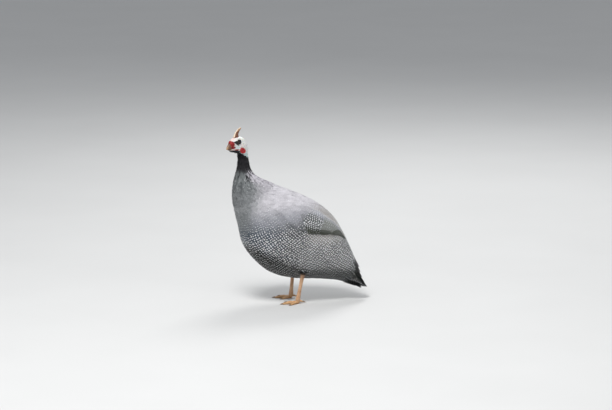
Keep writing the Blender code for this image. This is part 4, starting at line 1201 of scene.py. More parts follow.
def make_tail_feathers(material, rng):
    """Quills and coverts of the drooping tail."""
    plumage = Plumage("flight", 12, 7)
    for tier, row in enumerate(TAIL_TIERS.values()):
        number, root, droop, long, step, spread, tilt, wide, facing, tone_name, pale, dots = row
        j = np.arange(number) - (number - 1) / 2
        droop = math.radians(droop)
        over = Vector((math.sin(droop), 0, math.cos(droop)))
        ways, asides, outs, starts = [], [], [], []
        for k in j:
            fan = Matrix.Rotation(math.radians(spread * k), 3, over)
            way = fan @ Vector((math.cos(droop), 0, -math.sin(droop)))
            roll = Matrix.Rotation(math.radians(tilt * k * facing), 3, way)
            drop = TAIL_ROOF * (abs(k) * step / QUILL_STEP) ** 1.25
            ways.append(way)
            asides.append(roll @ fan @ Vector((0, 1, 0)))
            outs.append(roll @ over * facing)
            start = Vector((root[0], step * k, root[1])) - over * (drop * facing)
            starts.append(start + Vector(BODY_OFFSET))
        ways, asides, outs, starts = (np.array(v)[:, None, None, :] for v in (ways, asides, outs, starts))

        def place(along, across):
            points = starts + ways * along[..., None] + asides * across[..., None]
            return points, np.broadcast_to(outs, points.shape)

        length = long - 0.0011 * np.abs(j) ** 1.3
        ground = np.tile(TONES[tone_name], (number, 1))
        # Painted light on the middle of the tail's top
        ground = blend_tones(ground, "rump", pale * smooth(np.abs(j), 5.5, 1.5))
        ground = ground * rng.uniform(0.88, 1.12, (number, 1))
        marks = np.tile((dots, 0.6, 0), (number, 1))
        roots = np.stack([0.1 + 0.8 * (j + 8) / 16, np.full(number, 0.1 + 0.12 * tier)], axis=-1)
        plumage.lay(place, length, wide, -0.0002, 0.0007, ground, marks, roots, rng,
                    camber=0.0007, tilt=0.0002, ragged=0.03)
    plumage.make("tail_feathers", "quill_feathers", material)


# Head


def from_head(points):
    """Points of the head's own frame, in metres, placed on the bird."""
    return np.asarray(points) @ HEAD_AXES.T + HEAD_CENTRE


def to_head(points):
    """Points of the bird in the head's own frame, in metres."""
    return (np.asarray(points) - HEAD_CENTRE) @ HEAD_AXES


def ellipsoid_distance(p, centre, radii):
    """About how far points lie outside an ellipsoid."""
    q = (p - np.array(centre)) / np.array(radii)
    size = np.linalg.norm(q, axis=-1)
    slope = np.linalg.norm(q / np.array(radii), axis=-1)
    return size * (size - 1) / np.maximum(slope, 1e-9)


def rod_distance(p, start, end, start_radius, end_radius):
    """How far points lie outside a rod with round ends."""
    start, end = np.array(start), np.array(end)
    axis = end - start
    share = np.clip((p - start) @ axis / (axis @ axis), 0, 1)
    radius = start_radius + (end_radius - start_radius) * share
    return np.linalg.norm(p - start - share[..., None] * axis, axis=-1) - radius


def blend_together(a, b, k):
    """The smooth union of two distances, rounded off over k."""
    h = np.clip(0.5 + 0.5 * (b - a) / k, 0, 1)
    return b + (a - b) * h - k * h * (1 - h)


def raised(distance, ridge):
    """How high a ridge stands at that distance from its middle."""
    middle, height, width = ridge
    return height * np.exp(-(((distance - middle) / width) ** 2))


def head_distance(p):
    """About how far points lie outside the head, in the head's own frame."""
    x, y, z = p[..., 0], np.abs(p[..., 1]), p[..., 2]
    folded = np.stack([x, y, z], axis=-1)
    shape = None
    for centre, radii, softness in HEAD_MASSES:
        mass = ellipsoid_distance(folded, centre, radii)
        shape = mass if shape is None else blend_together(shape, mass, softness)
    for start, end, start_radius, end_radius, softness in HEAD_RODS:
        rod = rod_distance(folded, start, end, start_radius, end_radius)
        shape = blend_together(shape, rod, softness)
    # Only the sides of the head carry lids, brows, ears and nostrils
    on_side = np.clip((y - HEAD_SIDE) / HEAD_SIDE_FADE, 0, 1)
    from_eye = np.hypot(x, z)
    shape = shape + (raised(from_eye, FURROW) - raised(from_eye, LID)) * on_side
    from_brow = np.hypot(x - BROW_CENTRE[0], z - BROW_CENTRE[1])
    shape = shape - raised(from_brow, BROW) * np.clip(z / 0.004, 0, 1) * on_side
    along = x - NOSTRIL[0]
    from_nostril = np.hypot(along / NOSTRIL_LENGTH, z - NOSTRIL[1] - along / 4)
    shape = shape + raised(from_nostril, NOSTRIL_SLIT) * on_side
    from_ear = np.hypot(x - EAR[0], z - EAR[1])
    shape = shape + (raised(from_ear, EAR_CUP) - raised(from_ear, EAR_RIM)) * on_side
    share = np.clip((x - GAPE_FRONT[0]) / (GAPE_BACK[0] - GAPE_FRONT[0]), 0, 1)
    line_x = between((GAPE_FRONT[0], GAPE_BACK[0]), share)
    line_z = between((GAPE_FRONT[1], GAPE_BACK[1]), share ** 1.4)
    shape = shape + raised(np.hypot(x - line_x, z - line_z), MOUTH_LINE)
    # Folds across the upper neck, fading out at its back
    folds = np.sin((x / 2 - z) * 2 * math.pi / FOLD_SPACING)
    folds = folds * np.clip((FOLDS_BELOW - z) / FOLD_FADE[0], 0, 1)
    folds = folds * np.clip((FOLDS_AHEAD - x) / FOLD_FADE[1], 0, 1)
    return shape - FOLD_HEIGHT * folds


def vertex_normals(points, faces):
    """Normals of triangles' corners."""
    a, b, c = (points[faces[:, k]] for k in range(3))
    cross = np.cross(b - a, c - a)
    normals = np.zeros_like(points)
    for k in range(3):
        np.add.at(normals, faces[:, k], cross)
    return unit(normals)


def skin_relief(p):
    """Height of the face's small folds, pimples and papillae at points in millimetres."""
    heights = np.zeros(len(p))
    red = np.linalg.norm((p - RED_SKIN_MIDDLE) / RED_SKIN_REACH, axis=1)
    for i, (x, y, z) in enumerate(p.tolist()):
        fold = noise.noise(Vector((x * 0.30, y * 0.30, z * 0.85)))
        fine = noise.noise(Vector((x, y, z)) * 1.1)
        height = SKIN_FOLDS * fold + SKIN_GRAIN * fine
        if red[i] < 1.15:
            cell = noise.voronoi(Vector((x, y, z)) / PIMPLE_SPACING)[0][0]
            height += PIMPLES * max(0.0, 1 - (cell / 0.62) ** 2) * min(1.0, (1.15 - red[i]) / 0.3)
        heights[i] = height
    return heights * MM


def head_surface():
    """Points and triangles of the head, seen outward from its middle."""
    ball = bmesh.new()
    bmesh.ops.create_icosphere(ball, subdivisions=HEAD_DETAIL, radius=1.0)
    ways = np.array([v.co for v in ball.verts])
    faces = np.array([[v.index for v in face.verts] for face in ball.faces])
    ball.free()
    low, high = np.zeros(len(ways)), np.full(len(ways), HEAD_REACH)
    for _ in range(22):
        middle = (low + high) / 2
        inside = head_distance(np.array(HEAD_MIDDLE) + ways * middle[:, None]) < 0
        low, high = np.where(inside, middle, low), np.where(inside, high, middle)
    points = np.array(HEAD_MIDDLE) + ways * low[:, None]
    relief = skin_relief(points / MM)
    from_eye = np.hypot(points[:, 0], points[:, 2])
    relief = relief * np.where(np.abs(points[:, 1]) > HEAD_SIDE, smooth(from_eye, 0.0055, 0.0085), 1)
    return points + vertex_normals(points, faces) * relief[:, None], faces


def eyelids(tree, side, segments=96):
    """A ring of lids round one eye, which runs out under the skin about it."""
    turn = turns(segments)
    rim_x, rim_z = EYE_OPENING[0] * np.cos(turn), EYE_OPENING[1] * np.sin(turn)
    # The front corner is drawn out and lies a little lower
    rim_z = rim_z + 0.0007 * np.cos(turn)
    rim = np.hypot(rim_x, rim_z)
    upper = smooth(np.sin(turn), -0.2, 0.8)
    rings = []
    for step, (out, rise) in enumerate(LID_PROFILE):
        radius = rim + LID_REACH * out
        x, z = rim_x * radius / rim, rim_z * radius / rim
        ball = EYE_OUT + np.sqrt(np.maximum(EYE_RADIUS ** 2 - radius ** 2, 0.0022 ** 2))
        heights = []
        for k in range(segments):
            hit = tree.ray_cast(Vector((x[k], side * 0.03, z[k])), Vector((0, -side, 0)))[0]
            heights.append(abs(hit.y))
        ground = np.array(heights)
        share = smooth(out, 0.05, 1.0)
        folds = 0.00007 * np.sin(turn * 31 + step) * (0.1 < out < 0.9)
        y = ball * (1 - share) + np.minimum(ground, ball + 0.001) * share + folds
        y = y + LID_THICK * rise * (1 + 0.35 * upper * (out < 0.5))
        rings.append(np.stack([x, side * y, z], axis=-1))
    faces = tube_faces(len(rings), segments)
    return np.array(rings), faces[:, ::-1] if side < 0 else faces


def loft(rings):
    """Points and faces of a closed skin through rings."""
    rings = np.asarray(rings)
    rows, sides = rings.shape[:2]
    return rings.reshape(-1, 3), [tube_faces(rows, sides), tube_caps(rows, sides)]


def half_ring(x, edge_z, tip_z, half_width, sides=24):
    """A D-shaped ring at x, flat along edge_z and arched to tip_z."""
    a = math.pi * np.arange(sides) / (sides - 1)
    z = edge_z + (tip_z - edge_z) * np.sin(a) ** 0.8
    return np.stack([np.full(sides, x), -half_width * np.cos(a), z], axis=-1)


def bill_rings(upper, steps=28):
    """Rings of the upper or lower bill."""
    rings = []
    for i in range(steps + 1):
        s = i / steps
        if upper:
            x = BILL_BASE + 0.0012 - (BILL_LENGTH + 0.0012) * (1 - (1 - s) ** 1.3)
            half = BILL_HALF_WIDTH * (1 - s ** 1.6) + BILL_TIP_RADIUS * (1 - s ** 8)
            rings.append(half_ring(x, between(BILL_EDGE, s ** 1.6), between(BILL_RIDGE, s ** 1.55), half))
        else:
            x = BILL_BASE + 0.0012 - (LOWER_BILL_LENGTH + 0.0012) * s
            along = 1 - (1 - LOWER_BILL_LENGTH * s / BILL_LENGTH) ** (1 / 1.3)
            edge = between(BILL_EDGE, along ** 1.6) - MOUTH_GAP * 0.6
            half = LOWER_BILL_HALF_WIDTH * (1 - s ** 2.4) + BILL_TIP_RADIUS * (1 - s ** 8)
            rings.append(half_ring(x, edge, between(LOWER_BILL_KEEL, s ** 2), half))
    return rings


def head_piece(name, slot, points, faces, material, *nodes, angle=None):
    """A piece made in the head's own frame, with its place in the head kept in millimetres."""
    made = mesh_object(name, from_head(points), faces, material, angle)
    write_attribute(made.data, "head_place", "FLOAT_VECTOR", np.asarray(points) / MM)
    return dress(made, slot, *nodes)


def make_casque(material, rng):
    """The horn: flat from side to side, leaning back, ridged and rounded at its tip."""
    steps, sides = 70, 48
    last = len(CASQUE_SPINE) - 1
    t = last * np.arange(steps + 1) / steps
    spine = through(CASQUE_SPINE, t)
    slope = unit(np.gradient(spine[:, :2], axis=0))
    turn = turns(sides)
    uneven = 1 + 0.018 * np.sin(t * 9.5) + rng.normal(0, 0.006, steps + 1)
    rings = []
    for k in range(steps + 1):
        x, z, half_length, half_width = spine[k]
        # Across the way that the spine runs
        ahead = np.array((-slope[k, 1], 0, slope[k, 0]))
        grain = 1 + 0.02 * np.sin(turn * 7 + 0.4 * t[k]) + 0.012 * np.sin(turn * 13 - t[k])
        c, s = np.cos(turn), np.sin(turn)
        keel = np.abs(s) ** 1.15 * np.sign(s)
        ring = np.array((x, 0, z)) + np.outer(c * half_length * uneven[k] * grain, ahead)
        rings.append(ring + np.outer(keel * half_width * uneven[k] * grain, (0, 1, 0)))
    points, faces = loft(rings)
    made = head_piece("casque_horn", "casque_horn", points, faces, material, "casque", angle=60)
    # Which way each point faces, for the painted highlight along the casque's front
    write_attribute(made.data, "front", "FLOAT", np.tile(np.cos(turn), steps + 1))


def make_wattle(side_name, side, material, rng):
    """A thick red lappet of skin, wrinkled, with a rolled rim."""
    centre = np.array((WATTLE_CENTRE[0], side * WATTLE_CENTRE[1], WATTLE_CENTRE[2]))
    along = np.array((math.cos(WATTLE_FLARE), side * math.sin(WATTLE_FLARE), 0))
    up = unit(np.array((-0.12, 0, 1)))
    out = np.array((-math.sin(WATTLE_FLARE), side * math.cos(WATTLE_FLARE), 0))
    segments, steps = 72, 16
    turn = turns(segments)
    lobed = 1 + WATTLE_LOBES * np.cos(3 * turn + 0.6)
    lobed = lobed + 0.06 * np.cos(2 * turn + 1.0) + 0.02 * np.cos(7 * turn + side)
    rings = []
    for step in list(range(1, steps + 1)) + list(range(steps - 1, 0, -1)):
        face = 1 if len(rings) < steps else -1
        share = step / steps
        rim = math.exp(-(((share - WATTLE_RIM_PLACE) / WATTLE_RIM_WIDTH) ** 2))
        thick = (WATTLE_THICK + WATTLE_RIM * 0.55 * rim * (1 + 0.5 * np.cos(2 * turn))) * (1 - share ** 9)
        flat = np.outer(np.cos(turn), along) + np.outer(np.sin(turn), up)
        flat = flat * (WATTLE_RADIUS * share * lobed)[:, None]
        spots = centre + flat
        wave = np.array([noise.noise(Vector(spot) / (2.6 * MM)) for spot in spots])
        fold = 0.0009 * wave + 0.00035 * np.sin(turn * 4 + 3) * share
        rings.append(spots + np.outer(WATTLE_CUP * share ** 2 + face * thick + fold, out))
    points, faces = loft(rings if side > 0 else [ring[::-1] for ring in rings])
    name = f"wattle_skin_{side_name}"
    made = head_piece(name, "wattle_skin", points, faces, material, f"wattle_{side_name}")
    shares = np.linalg.norm(points - centre, axis=1) / WATTLE_RADIUS
    write_attribute(made.data, "rim", "FLOAT", shares)


def make_eye(side_name, side, material):
    """An eyeball whose pole looks out to its side."""
    segments, rows = 48, 32
    turn = turns(segments)
    rings = []
    for angle in np.pi * (np.arange(rows) + 0.5) / rows:
        bulge = 0.00022 * math.exp(-((angle / 0.55) ** 2))
        radius = EYE_RADIUS + bulge
        x, z = radius * math.sin(angle) * np.cos(turn), radius * math.sin(angle) * np.sin(turn)
        y = np.full(segments, side * (EYE_OUT + radius * math.cos(angle)))
        rings.append(np.stack([x, y, z], axis=-1))
    points, faces = loft(rings if side > 0 else [ring[::-1] for ring in rings])
    head_piece(f"eyeball_{side_name}", "eye", points, faces, material, f"eye_{side_name}")


# Hair-like feathers of the head: how many, the way they point, or none for away from the eye,
# length, width, lift at the tip and how much they stray
BRISTLES = {
    "throat_bristles": (4200, (0.30, 0.17, -1.0), 0.0062, 0.0007, 0.0011, 0.13),
    "nape_bristles": (150, (0.3, 0.2, -1.0), 0.0075, 0.00026, 0.0024, 0.35),
    "lashes": (150, None, 0.0017, 0.00016, 0.0008, 0.2),
}


def make_head_bristles(head_points, head_faces, material, rng):
    """Black bristles of the throat and nape, and fine lashes about the eyes."""
    world = from_head(head_points)
    x, y, z = head_points[head_faces].mean(axis=1).T
    throat_z = THROAT_POINT[1] - THROAT_SLOPE * (x - THROAT_POINT[0])
    below = smooth(throat_z - z, -0.0045, 0.003) * (z < -0.020)
    corner = smooth(z, -0.021, -0.024) * smooth(x, -0.011, -0.004) * smooth(x, 0.012, 0.006)
    shares = {
        "throat_bristles": np.maximum(below, corner * (np.abs(y) < 0.0085)),
        "nape_bristles": smooth(x, 0.018, 0.024) * smooth(z, -0.002, -0.010) * (z > -0.045),
        "lashes": smooth(np.abs(np.hypot(x, z) - 0.0060), 0.0007, 0.0002) * (np.abs(y) > 0.006),
    }
    for name, (number, aim, length, width, lift, stray) in BRISTLES.items():
        points, normals = scatter(world, head_faces, shares[name], number, rng)
        head = to_head(points)
        if aim is None:
            aim = unit(head * (1, 0, 1)) @ HEAD_AXES.T
        ways = aim + rng.normal(0, stray, (number, 3))
        ways = unit(ways - normals * (ways * normals).sum(-1, keepdims=True))
        lengths = length * rng.uniform(0.7, 1.25, number)
        ground = np.tile(TONES["black"], (number, 1)) * rng.uniform(0.7, 1.6, (number, 1))
        roots = np.stack([0.5 + head[:, 1] * 12, 0.55 + head[:, 2] * 9], axis=-1) + 0.3 * head[:, :1]
        tip_lift = lift * rng.uniform(0.4, 1.4, number)
        plumage = Plumage("hair", 6, 3)
        plumage.lay(on_spots(points, normals, ways), lengths, width, -0.0006, tip_lift, ground,
                    np.zeros((number, 3)), np.clip(roots, 0.01, 0.98), rng,
                    camber=width * 0.25, tilt=0.0, ragged=0.0)
        plumage.make(name, "neck_plumage", material)


def build_oval_group():
    """A mask that is 1 inside an ellipsoid and fades out over its edge."""
    graph, place, centre, size, soft = new_group(
        "oval",
        [("Place", "Vector", None), ("Centre", "Vector", None),
         ("Size", "Vector", (1, 1, 1)), ("Soft", "Float", 0.25)],
        ("Mask", "Float"),
    )
    scaled = graph.vector("DIVIDE", graph.vector("SUBTRACT", place, centre), size)
    away = graph.vector("LENGTH", scaled, output="Value")
    graph.give(Mask=graph.ramp(away, soft + 1.0, 1.0 - soft))


def make_face_material():
    """Bare skin of the face: white, red about the bill, black about the eye and down the throat."""
    made, graph = new_material("face skin", Subsurface_Weight=0.12, Subsurface_Scale=0.0015,
                               Specular_IOR_Level=0.4)
    place = graph.attribute("head_place", "Vector")
    drift = graph.noise(place, 0.35, output="Color")
    drawn = graph.vector("MULTIPLY_ADD", drift, (FACE_DRIFT,) * 3, place)
    drawn = graph.vector("SUBTRACT", drawn, (FACE_DRIFT / 2,) * 3)
    x, _, z = graph.split(drawn)

    def oval(centre, size, soft=0.25, share=1.0):
        return graph.group("oval", Place=drawn, Centre=centre, Size=size, Soft=soft)["Mask"] * share

    grain = graph.ramp(graph.noise(place, 1.6, 4.0), 0.3, 0.7)
    colour = graph.mix(grain, TONES["face"] * 0.86, TONES["face"])
    for name, *patch in FACE_PATCHES:
        colour = graph.mix(oval(*patch), colour, TONES[name])
    # Red skin about the bill, darker in its pits
    red = graph.mix(graph.ramp(graph.cells(place, 0.66), 0.35, 0.75), TONES["red skin"], TONES["dark red"])
    red = graph.mix(graph.ramp(graph.noise(place, 0.55, 3.0), 0.52, 0.66), red, TONES["dark red"] * 0.8)
    colour = graph.mix(graph.largest(*(oval(*patch) for patch in RED_PATCHES)), colour, red)
    # The dark triangle from the eye towards the bill, and a line over the eye
    lore = graph.ramp(x * -0.28 + z, 5.4, 4.2) * graph.ramp(x * 0.70 + z, -12.2, -10.6)
    lore = lore * (graph.ramp(x, 0.5, -1.5) * graph.ramp(x, -16.8, -15.2))
    arc = oval((0.5, 12, -1.2), (9.6, 9, 9.9), 0.04) - oval((0.5, 12, -1.9), (9.6, 9, 9.9), 0.04)
    arc = graph.largest(arc, 0.0) * graph.ramp(z, 3.0, 5.5, 0.0, 0.85)
    # The throat and neck below a slanting line
    limit = graph.math("MINIMUM", x * -0.75 + -22.0, -20.6)
    streaks = graph.noise(place, 0.8, stretch=(1.0, 1.0, 0.3))
    throat = graph.ramp((streaks - 0.5) * 4.0 + (z - limit), 0.8, -0.8)
    dark = graph.largest(lore, arc, throat, *(oval(*patch) for patch in DARK_PATCHES))
    colour = graph.mix(dark, colour, TONES["lids"])
    # The coat's tones below the neck's black, with its dots
    dots = graph.ramp(graph.cells(place, 1 / SKIN_DOT_SPACING), 0.40, 0.28)
    dots = dots * graph.attribute("ground", "Alpha")
    coat = graph.mix(dots, graph.attribute("ground"), TONES["face"])
    colour = graph.mix(graph.ramp(z, -80.0, -88.0), colour, coat)
    pores = graph.noise(place, 3.2, 3.0) * 0.6 + graph.noise(place, 1.0, 3.0, 0.6, (0.5, 0.5, 1.6))
    sheen = graph.ramp(graph.noise(place, 1.2), 0.3, 0.7, 0.38, 0.6)
    graph.give(Base_Color=colour, Normal=graph.bump(pores, 0.5, 0.0003), Roughness=sheen)
    return made


def make_wattle_material():
    """Pimpled crimson skin, pale along the rear rim."""
    made, graph = new_material("wattle skin", Roughness=0.4, Subsurface_Weight=0.15, Subsurface_Scale=0.0015)
    place = graph.attribute("head_place", "Vector")
    x, _, _ = graph.split(place)
    red = graph.mix(graph.ramp(graph.noise(place, 0.9, 4.0), 0.3, 0.72), TONES["wattle pit"], TONES["wattle"])
    pale = graph.ramp(graph.attribute("rim", "Fac"), 0.90, 1.02) * graph.ramp(x, 13.0, 16.0)
    pimples = graph.cells(place, 1.5) * -0.6 + graph.noise(place, 2.5, 3.0)
    graph.give(Base_Color=graph.mix(pale * 0.75, red, TONES["wattle rim"]),
               Normal=graph.bump(pimples, 0.45, 0.0003))
    return made


def make_casque_material():
    """Layered horn, dark at the base, with a painted highlight of cream along its front edge and none behind.
    """
    made, graph = new_material("casque horn")
    place = graph.attribute("head_place", "Vector")
    _, _, z = graph.split(place)
    grain = graph.noise(place, 0.7, 4.0, 0.6, (0.35, 1.6, 0.35))
    colour = graph.mix(graph.ramp(grain, 0.3, 0.7), TONES["casque pit"], TONES["casque"])
    colour = graph.mix(graph.ramp(z, 22.0, 31.0, 0.0, 0.55), colour, TONES["casque tip"])
    colour = graph.mix(graph.ramp(z, 17.0, 9.5) * 0.6, colour, TONES["casque base"])
    # A painted highlight of cream along the front edge, where the light falls
    front = graph.ramp(grain * 0.5 + graph.attribute("front", "Fac"), 0.95, 1.25)
    colour = graph.mix(front * graph.ramp(z, 9.0, 14.0, 0.45, 0.9), colour, TONES["casque highlight"])
    layers = graph.noise(place, 1.3, 4.0, 0.6, (0.5, 1.0, 2.2))
    graph.give(Base_Color=colour, Normal=graph.bump(layers, 0.5, 0.0004),
               Roughness=graph.ramp(layers, 0.3, 0.7, 0.32, 0.55))
    return made


def make_bill_material():
    """Brown horn, red at its root and paler at the tip."""
    made, graph = new_material("bill horn", Roughness=0.35)
    place = graph.attribute("head_place", "Vector")
    x, _, _ = graph.split(place)
    grain = graph.noise(place, 0.8, 3.0, 0.6, (0.4, 1.4, 1.4))
    colour = graph.mix(graph.ramp(grain, 0.3, 0.7), TONES["bill pit"], TONES["bill"])
    colour = graph.mix(graph.ramp(x, -27.0, -33.0, 0.0, 0.7), colour, TONES["bill tip"])
    colour = graph.mix(graph.ramp(x, -22.8, -20.0), colour, TONES["dark red"] * 1.3)
    graph.give(Base_Color=colour, Normal=graph.bump(grain, 0.3, 0.0003))
    return made


def make_eye_material():
    """A black pupil in a dark brown iris."""
    made, graph = new_material("eye", Roughness=0.05, Specular_IOR_Level=0.45)
    place = graph.attribute("head_place", "Vector")
    x, _, z = graph.split(place)
    away = graph.math("SQRT", x * x + z * z)
    streak = graph.noise(place, 1.4, 3.0)
    iris = graph.mix(streak, TONES["dark iris"], TONES["iris"])
    colour = graph.mix(graph.ramp(away, 2.8, 2.5), iris, (0.002, 0.002, 0.002))
    colour = graph.mix(graph.ramp(away, 3.9, 4.5), colour, TONES["iris rim"])
    graph.give(Base_Color=colour, Normal=graph.bump(streak, 0.05, 0.0001))
    return made


def make_head(rng):
    """Everything on the head but its skin, which is part of the bird's one skin."""
    make_casque(make_casque_material(), rng)
    bill_material = make_bill_material()
    for upper, word in ((True, "upper"), (False, "lower")):
        points, faces = loft(bill_rings(upper))
        head_piece(f"bill_{word}_horn", "bill_horn", points, faces, bill_material, f"bill_{word}", angle=50)
    wattle_material, eye_material = make_wattle_material(), make_eye_material()
    for side_name, side in SIDES.items():
        make_wattle(side_name, side, wattle_material, rng)
        make_eye(side_name, side, eye_material)


# Legs


def rings_about(centres, ways, out, radii_out, radii_side, sides):
    """Rings of ellipses at centres, square to ways, with their first radius towards out."""
    turn = turns(sides)
    rings = []
    for centre, way, radius_out, radius_side in zip(centres, ways, radii_out, radii_side):
        way = unit(np.asarray(way, float))
        first = unit(np.asarray(out, float) - way * np.dot(out, way))
        second = np.cross(way, first)
        ring = centre + np.outer(np.cos(turn) * radius_out, first)
        rings.append(ring + np.outer(np.sin(turn) * radius_side, second))
    return np.array(rings)


def leg_points(side, hock, joint):
    """Hock, toe joint and knee of a leg on the bird."""
    hock = np.array((hock[0], side * hock[1], hock[2])) + BODY_OFFSET
    joint = np.array((joint[0], side * joint[1], joint[2])) + BODY_OFFSET
    return hock, joint, hock + np.array(KNEE_FROM_HOCK) * (1, side, 1)


def drumstick_rings(side, hock, joint, inset=0.0):
    """Rings of the feathered thigh, from inside the flank to a cuff above the hock."""
    hock, _, knee = leg_points(side, hock, joint)
    along = unit(hock - knee)
    end = hock - along * HOCK_RADIUS * 0.6
    s = np.linspace(0, 1, 40)
    fullest = 0.3
    rounded = np.sqrt(np.maximum(0, 1 - ((fullest - s) / fullest) ** 2))
    tapered = 0.5 + 0.5 * np.cos(np.pi * (s - fullest) / (1 - fullest))
    radius = CUFF_RADIUS + (KNEE_RADIUS - CUFF_RADIUS) * np.where(s < fullest, rounded, tapered)
    radius = radius - inset * smooth(s, 1.15, 0.6)
    centres = knee + (end - knee) * s[:, None]
    return rings_about(centres, [along] * len(s), (1, 0, 0.2), radius, radius, 48)


def toe_way(side, toe_out, turn):
    """The level direction that a toe points in."""
    turn = math.radians(toe_out + turn)
    return np.array((-math.cos(turn), side * math.sin(turn), 0))


def leg_lofts(side, hock, joint, toe_out):
    """Closed skins of shank, ankle and toes, and the middle line of each with its way up."""
    hock, joint, knee = leg_points(side, hock, joint)
    upper, lower = unit(hock - knee), unit(joint - hock)
    s = np.linspace(0, 1, 40)
    swell = (HOCK_RADIUS - SHANK_RADIUS) * (1 - s) ** 4 + (JOINT_RADIUS - SHANK_RADIUS) * s ** 5
    radius = SHANK_RADIUS + swell
    centres = hock + (joint - hock) * s[:, None]
    top = hock - upper * HOCK_RADIUS * 0.6
    shank = np.concatenate([
        rings_about([top], [upper], (1, 0, 0), [HOCK_RADIUS * 0.96], [HOCK_RADIUS * 0.9], SHANK_SIDES),
        rings_about(centres, [lower] * len(s), (1, 0, 0), radius * 1.15, radius * 0.92, SHANK_SIDES),
    ])
    centres = [joint - lower * JOINT_RADIUS * 0.8, joint, joint - (0, 0, 0.0045), joint - (0, 0, 0.0078)]
    radii = np.array(ANKLE_SHARES) * JOINT_RADIUS
    ankle = rings_about(centres, [(0, 0, -1)] * 4, (1, 0, 0), *radii, SHANK_SIDES)
    lofts = [loft(shank), loft(ankle)]
    lines = [(hock, joint, np.array((-1.0, 0, 0)), SHANK_SCUTES)]
    for length, turn, base_radius, rise in TOES.values():
        way = toe_way(side, toe_out, turn)
        s = np.linspace(0, 1, 46)
        pads = 1 + 0.10 * np.cos(2 * np.pi * TOE_PADS * s)
        size = base_radius * (1 - 0.34 * s) * pads * np.minimum(1, 0.55 + 6 * (1 - s))
        height = size * 0.88 + rise * (1 - 0.55 * s)
        centres = np.array((joint[0], joint[1], 0)) + np.outer(s, way * length) + np.outer(height, (0, 0, 1))
        rings = rings_about(centres, [way] * len(s), (0, 0, 1), size, size * 0.95, TOE_SIDES)
        rings[..., 2] = np.maximum(rings[..., 2], 0.0)
        lofts.append(loft(rings))
        lines.append((centres[0], centres[-1], np.array((0, 0, 1.0)), TOE_SCUTES))
    return lofts, lines


def even_out(piece, voxel):
    """Gives a piece one even skin of small quads."""
    grid = piece.modifiers.new("even", "REMESH")
    grid.mode, grid.voxel_size, grid.use_smooth_shade = "VOXEL", voxel, True
    piece.modifiers.new("soft", "SMOOTH").iterations = SMOOTHING


def remeshed(name, points, faces, voxel):
    """Points, quads and normals of one skin over several closed skins that run into each other."""
    piece = mesh_object(name, points, faces)
    even_out(piece, voxel)
    shape = piece.evaluated_get(bpy.context.evaluated_depsgraph_get()).to_mesh()
    read = []
    for field in ("co", "normal"):
        values = np.zeros(len(shape.vertices) * 3, np.float32)
        shape.vertices.foreach_get(field, values)
        read.append(values.reshape(-1, 3).astype(float))
    quads = np.zeros(len(shape.loops), np.int32)
    shape.loops.foreach_get("vertex_index", quads)
    bpy.data.objects.remove(piece)
    return read[0], quads.reshape(-1, 4), read[1]


def make_leg(side_name, side, hock, joint, toe_out, material):
    """Shank, foot and toes with scutes down their front and top."""
    lofts, lines = leg_lofts(side, hock, joint, toe_out)
    points, quads, normals = remeshed(f"leg_{side_name}_form", *joined(lofts), LEG_VOXEL)
    nearest = np.full(len(points), 1e9)
    along, facing = np.zeros(len(points)), np.zeros(len(points))
    for start, end, front, spacing in lines:
        axis = end - start
        share = np.clip((points - start) @ axis / (axis @ axis), -0.1, 1.1)
        away = np.linalg.norm(points - start - share[:, None] * axis, axis=1)
        closer = away < nearest
        nearest = np.where(closer, away, nearest)
        along = np.where(closer, share * np.linalg.norm(axis) / MM / spacing, along)
        facing = np.where(closer, normals @ front, facing)
    plated = smooth(facing, 0.05, 0.55)
    step = along % 1
    rise = SCUTE_RISE * (np.minimum(step * 1.2, 1) - 0.6) * plated * smooth(step, 1.0, 0.86)
    points = points + normals * rise[:, None]
    points[:, 2] = np.maximum(points[:, 2], 0.0)
    made = mesh_object(f"leg_skin_{side_name}", points, quads, material)
    plates = np.stack([along, plated, points[:, 2] / 0.08], axis=-1)
    write_attribute(made.data, "plates", "FLOAT_VECTOR", plates)
    dress(made, "leg_skin", f"shank_{side_name}", f"foot_{side_name}")


def make_leg_material():
    """Straw skin with darker seams between its plates and scales."""
    made, graph = new_material("leg skin", Roughness=0.5, Subsurface_Weight=0.05, Subsurface_Scale=0.001)
    place = graph.position()
    along, plated, height = graph.split(graph.attribute("plates", "Vector"))
    groove = graph.ramp(graph.math("PINGPONG", along, 0.5), 0.09, 0.0) * plated
    net = graph.ramp(graph.cells(place, 750.0, "DISTANCE_TO_EDGE"), 0.14, 0.03) * (1.0 - plated)
    seams = graph.largest(groove, net)
    mottle = graph.ramp(graph.noise(place, 70.0, 4.0), 0.3, 0.7)
    colour = graph.mix(mottle, TONES["leg"], TONES["pale leg"])
    colour = graph.mix(graph.ramp(height, 0.16, 0.05, 0.0, 0.55), colour, TONES["foot"])
    colour = graph.mix(graph.ramp(height, 0.62, 0.95, 0.0, 0.5), colour, TONES["hock"])
    colour = graph.mix(seams * 0.6, colour, TONES["leg seam"])
    relief = seams * -1.0 + graph.noise(place, 900.0) * 0.25
    graph.give(Base_Color=colour, Normal=graph.bump(relief, 0.6, 0.0003))
    return made


def make_claw_material():
    """Brown horn with a fine grain."""
    made, graph = new_material("claw horn", Roughness=0.38)
    grain = graph.noise(graph.position(), 260.0, 3.0)
    colour = graph.mix(grain, TONES["claw"], TONES["pale claw"])
    graph.give(Base_Color=colour, Normal=graph.bump(grain, 0.3, 0.0002))
    return made


def make_legs():
    """Both legs, and a rounded finish for the claws, which are the solids' own meshes."""
    skin, horn = make_leg_material(), make_claw_material()
    for side_name, leg in LEGS.items():
        make_leg(side_name, *leg, skin)
    for claw in [thing for thing in bpy.data.objects if thing.name.startswith("claw_")]:
        claw.data.materials.clear()
        claw.data.materials.append(horn)
        claw.modifiers.new("join", "WELD").merge_threshold = 1e-5
        even_out(claw, CLAW_VOXEL)


# Skin under the plumage


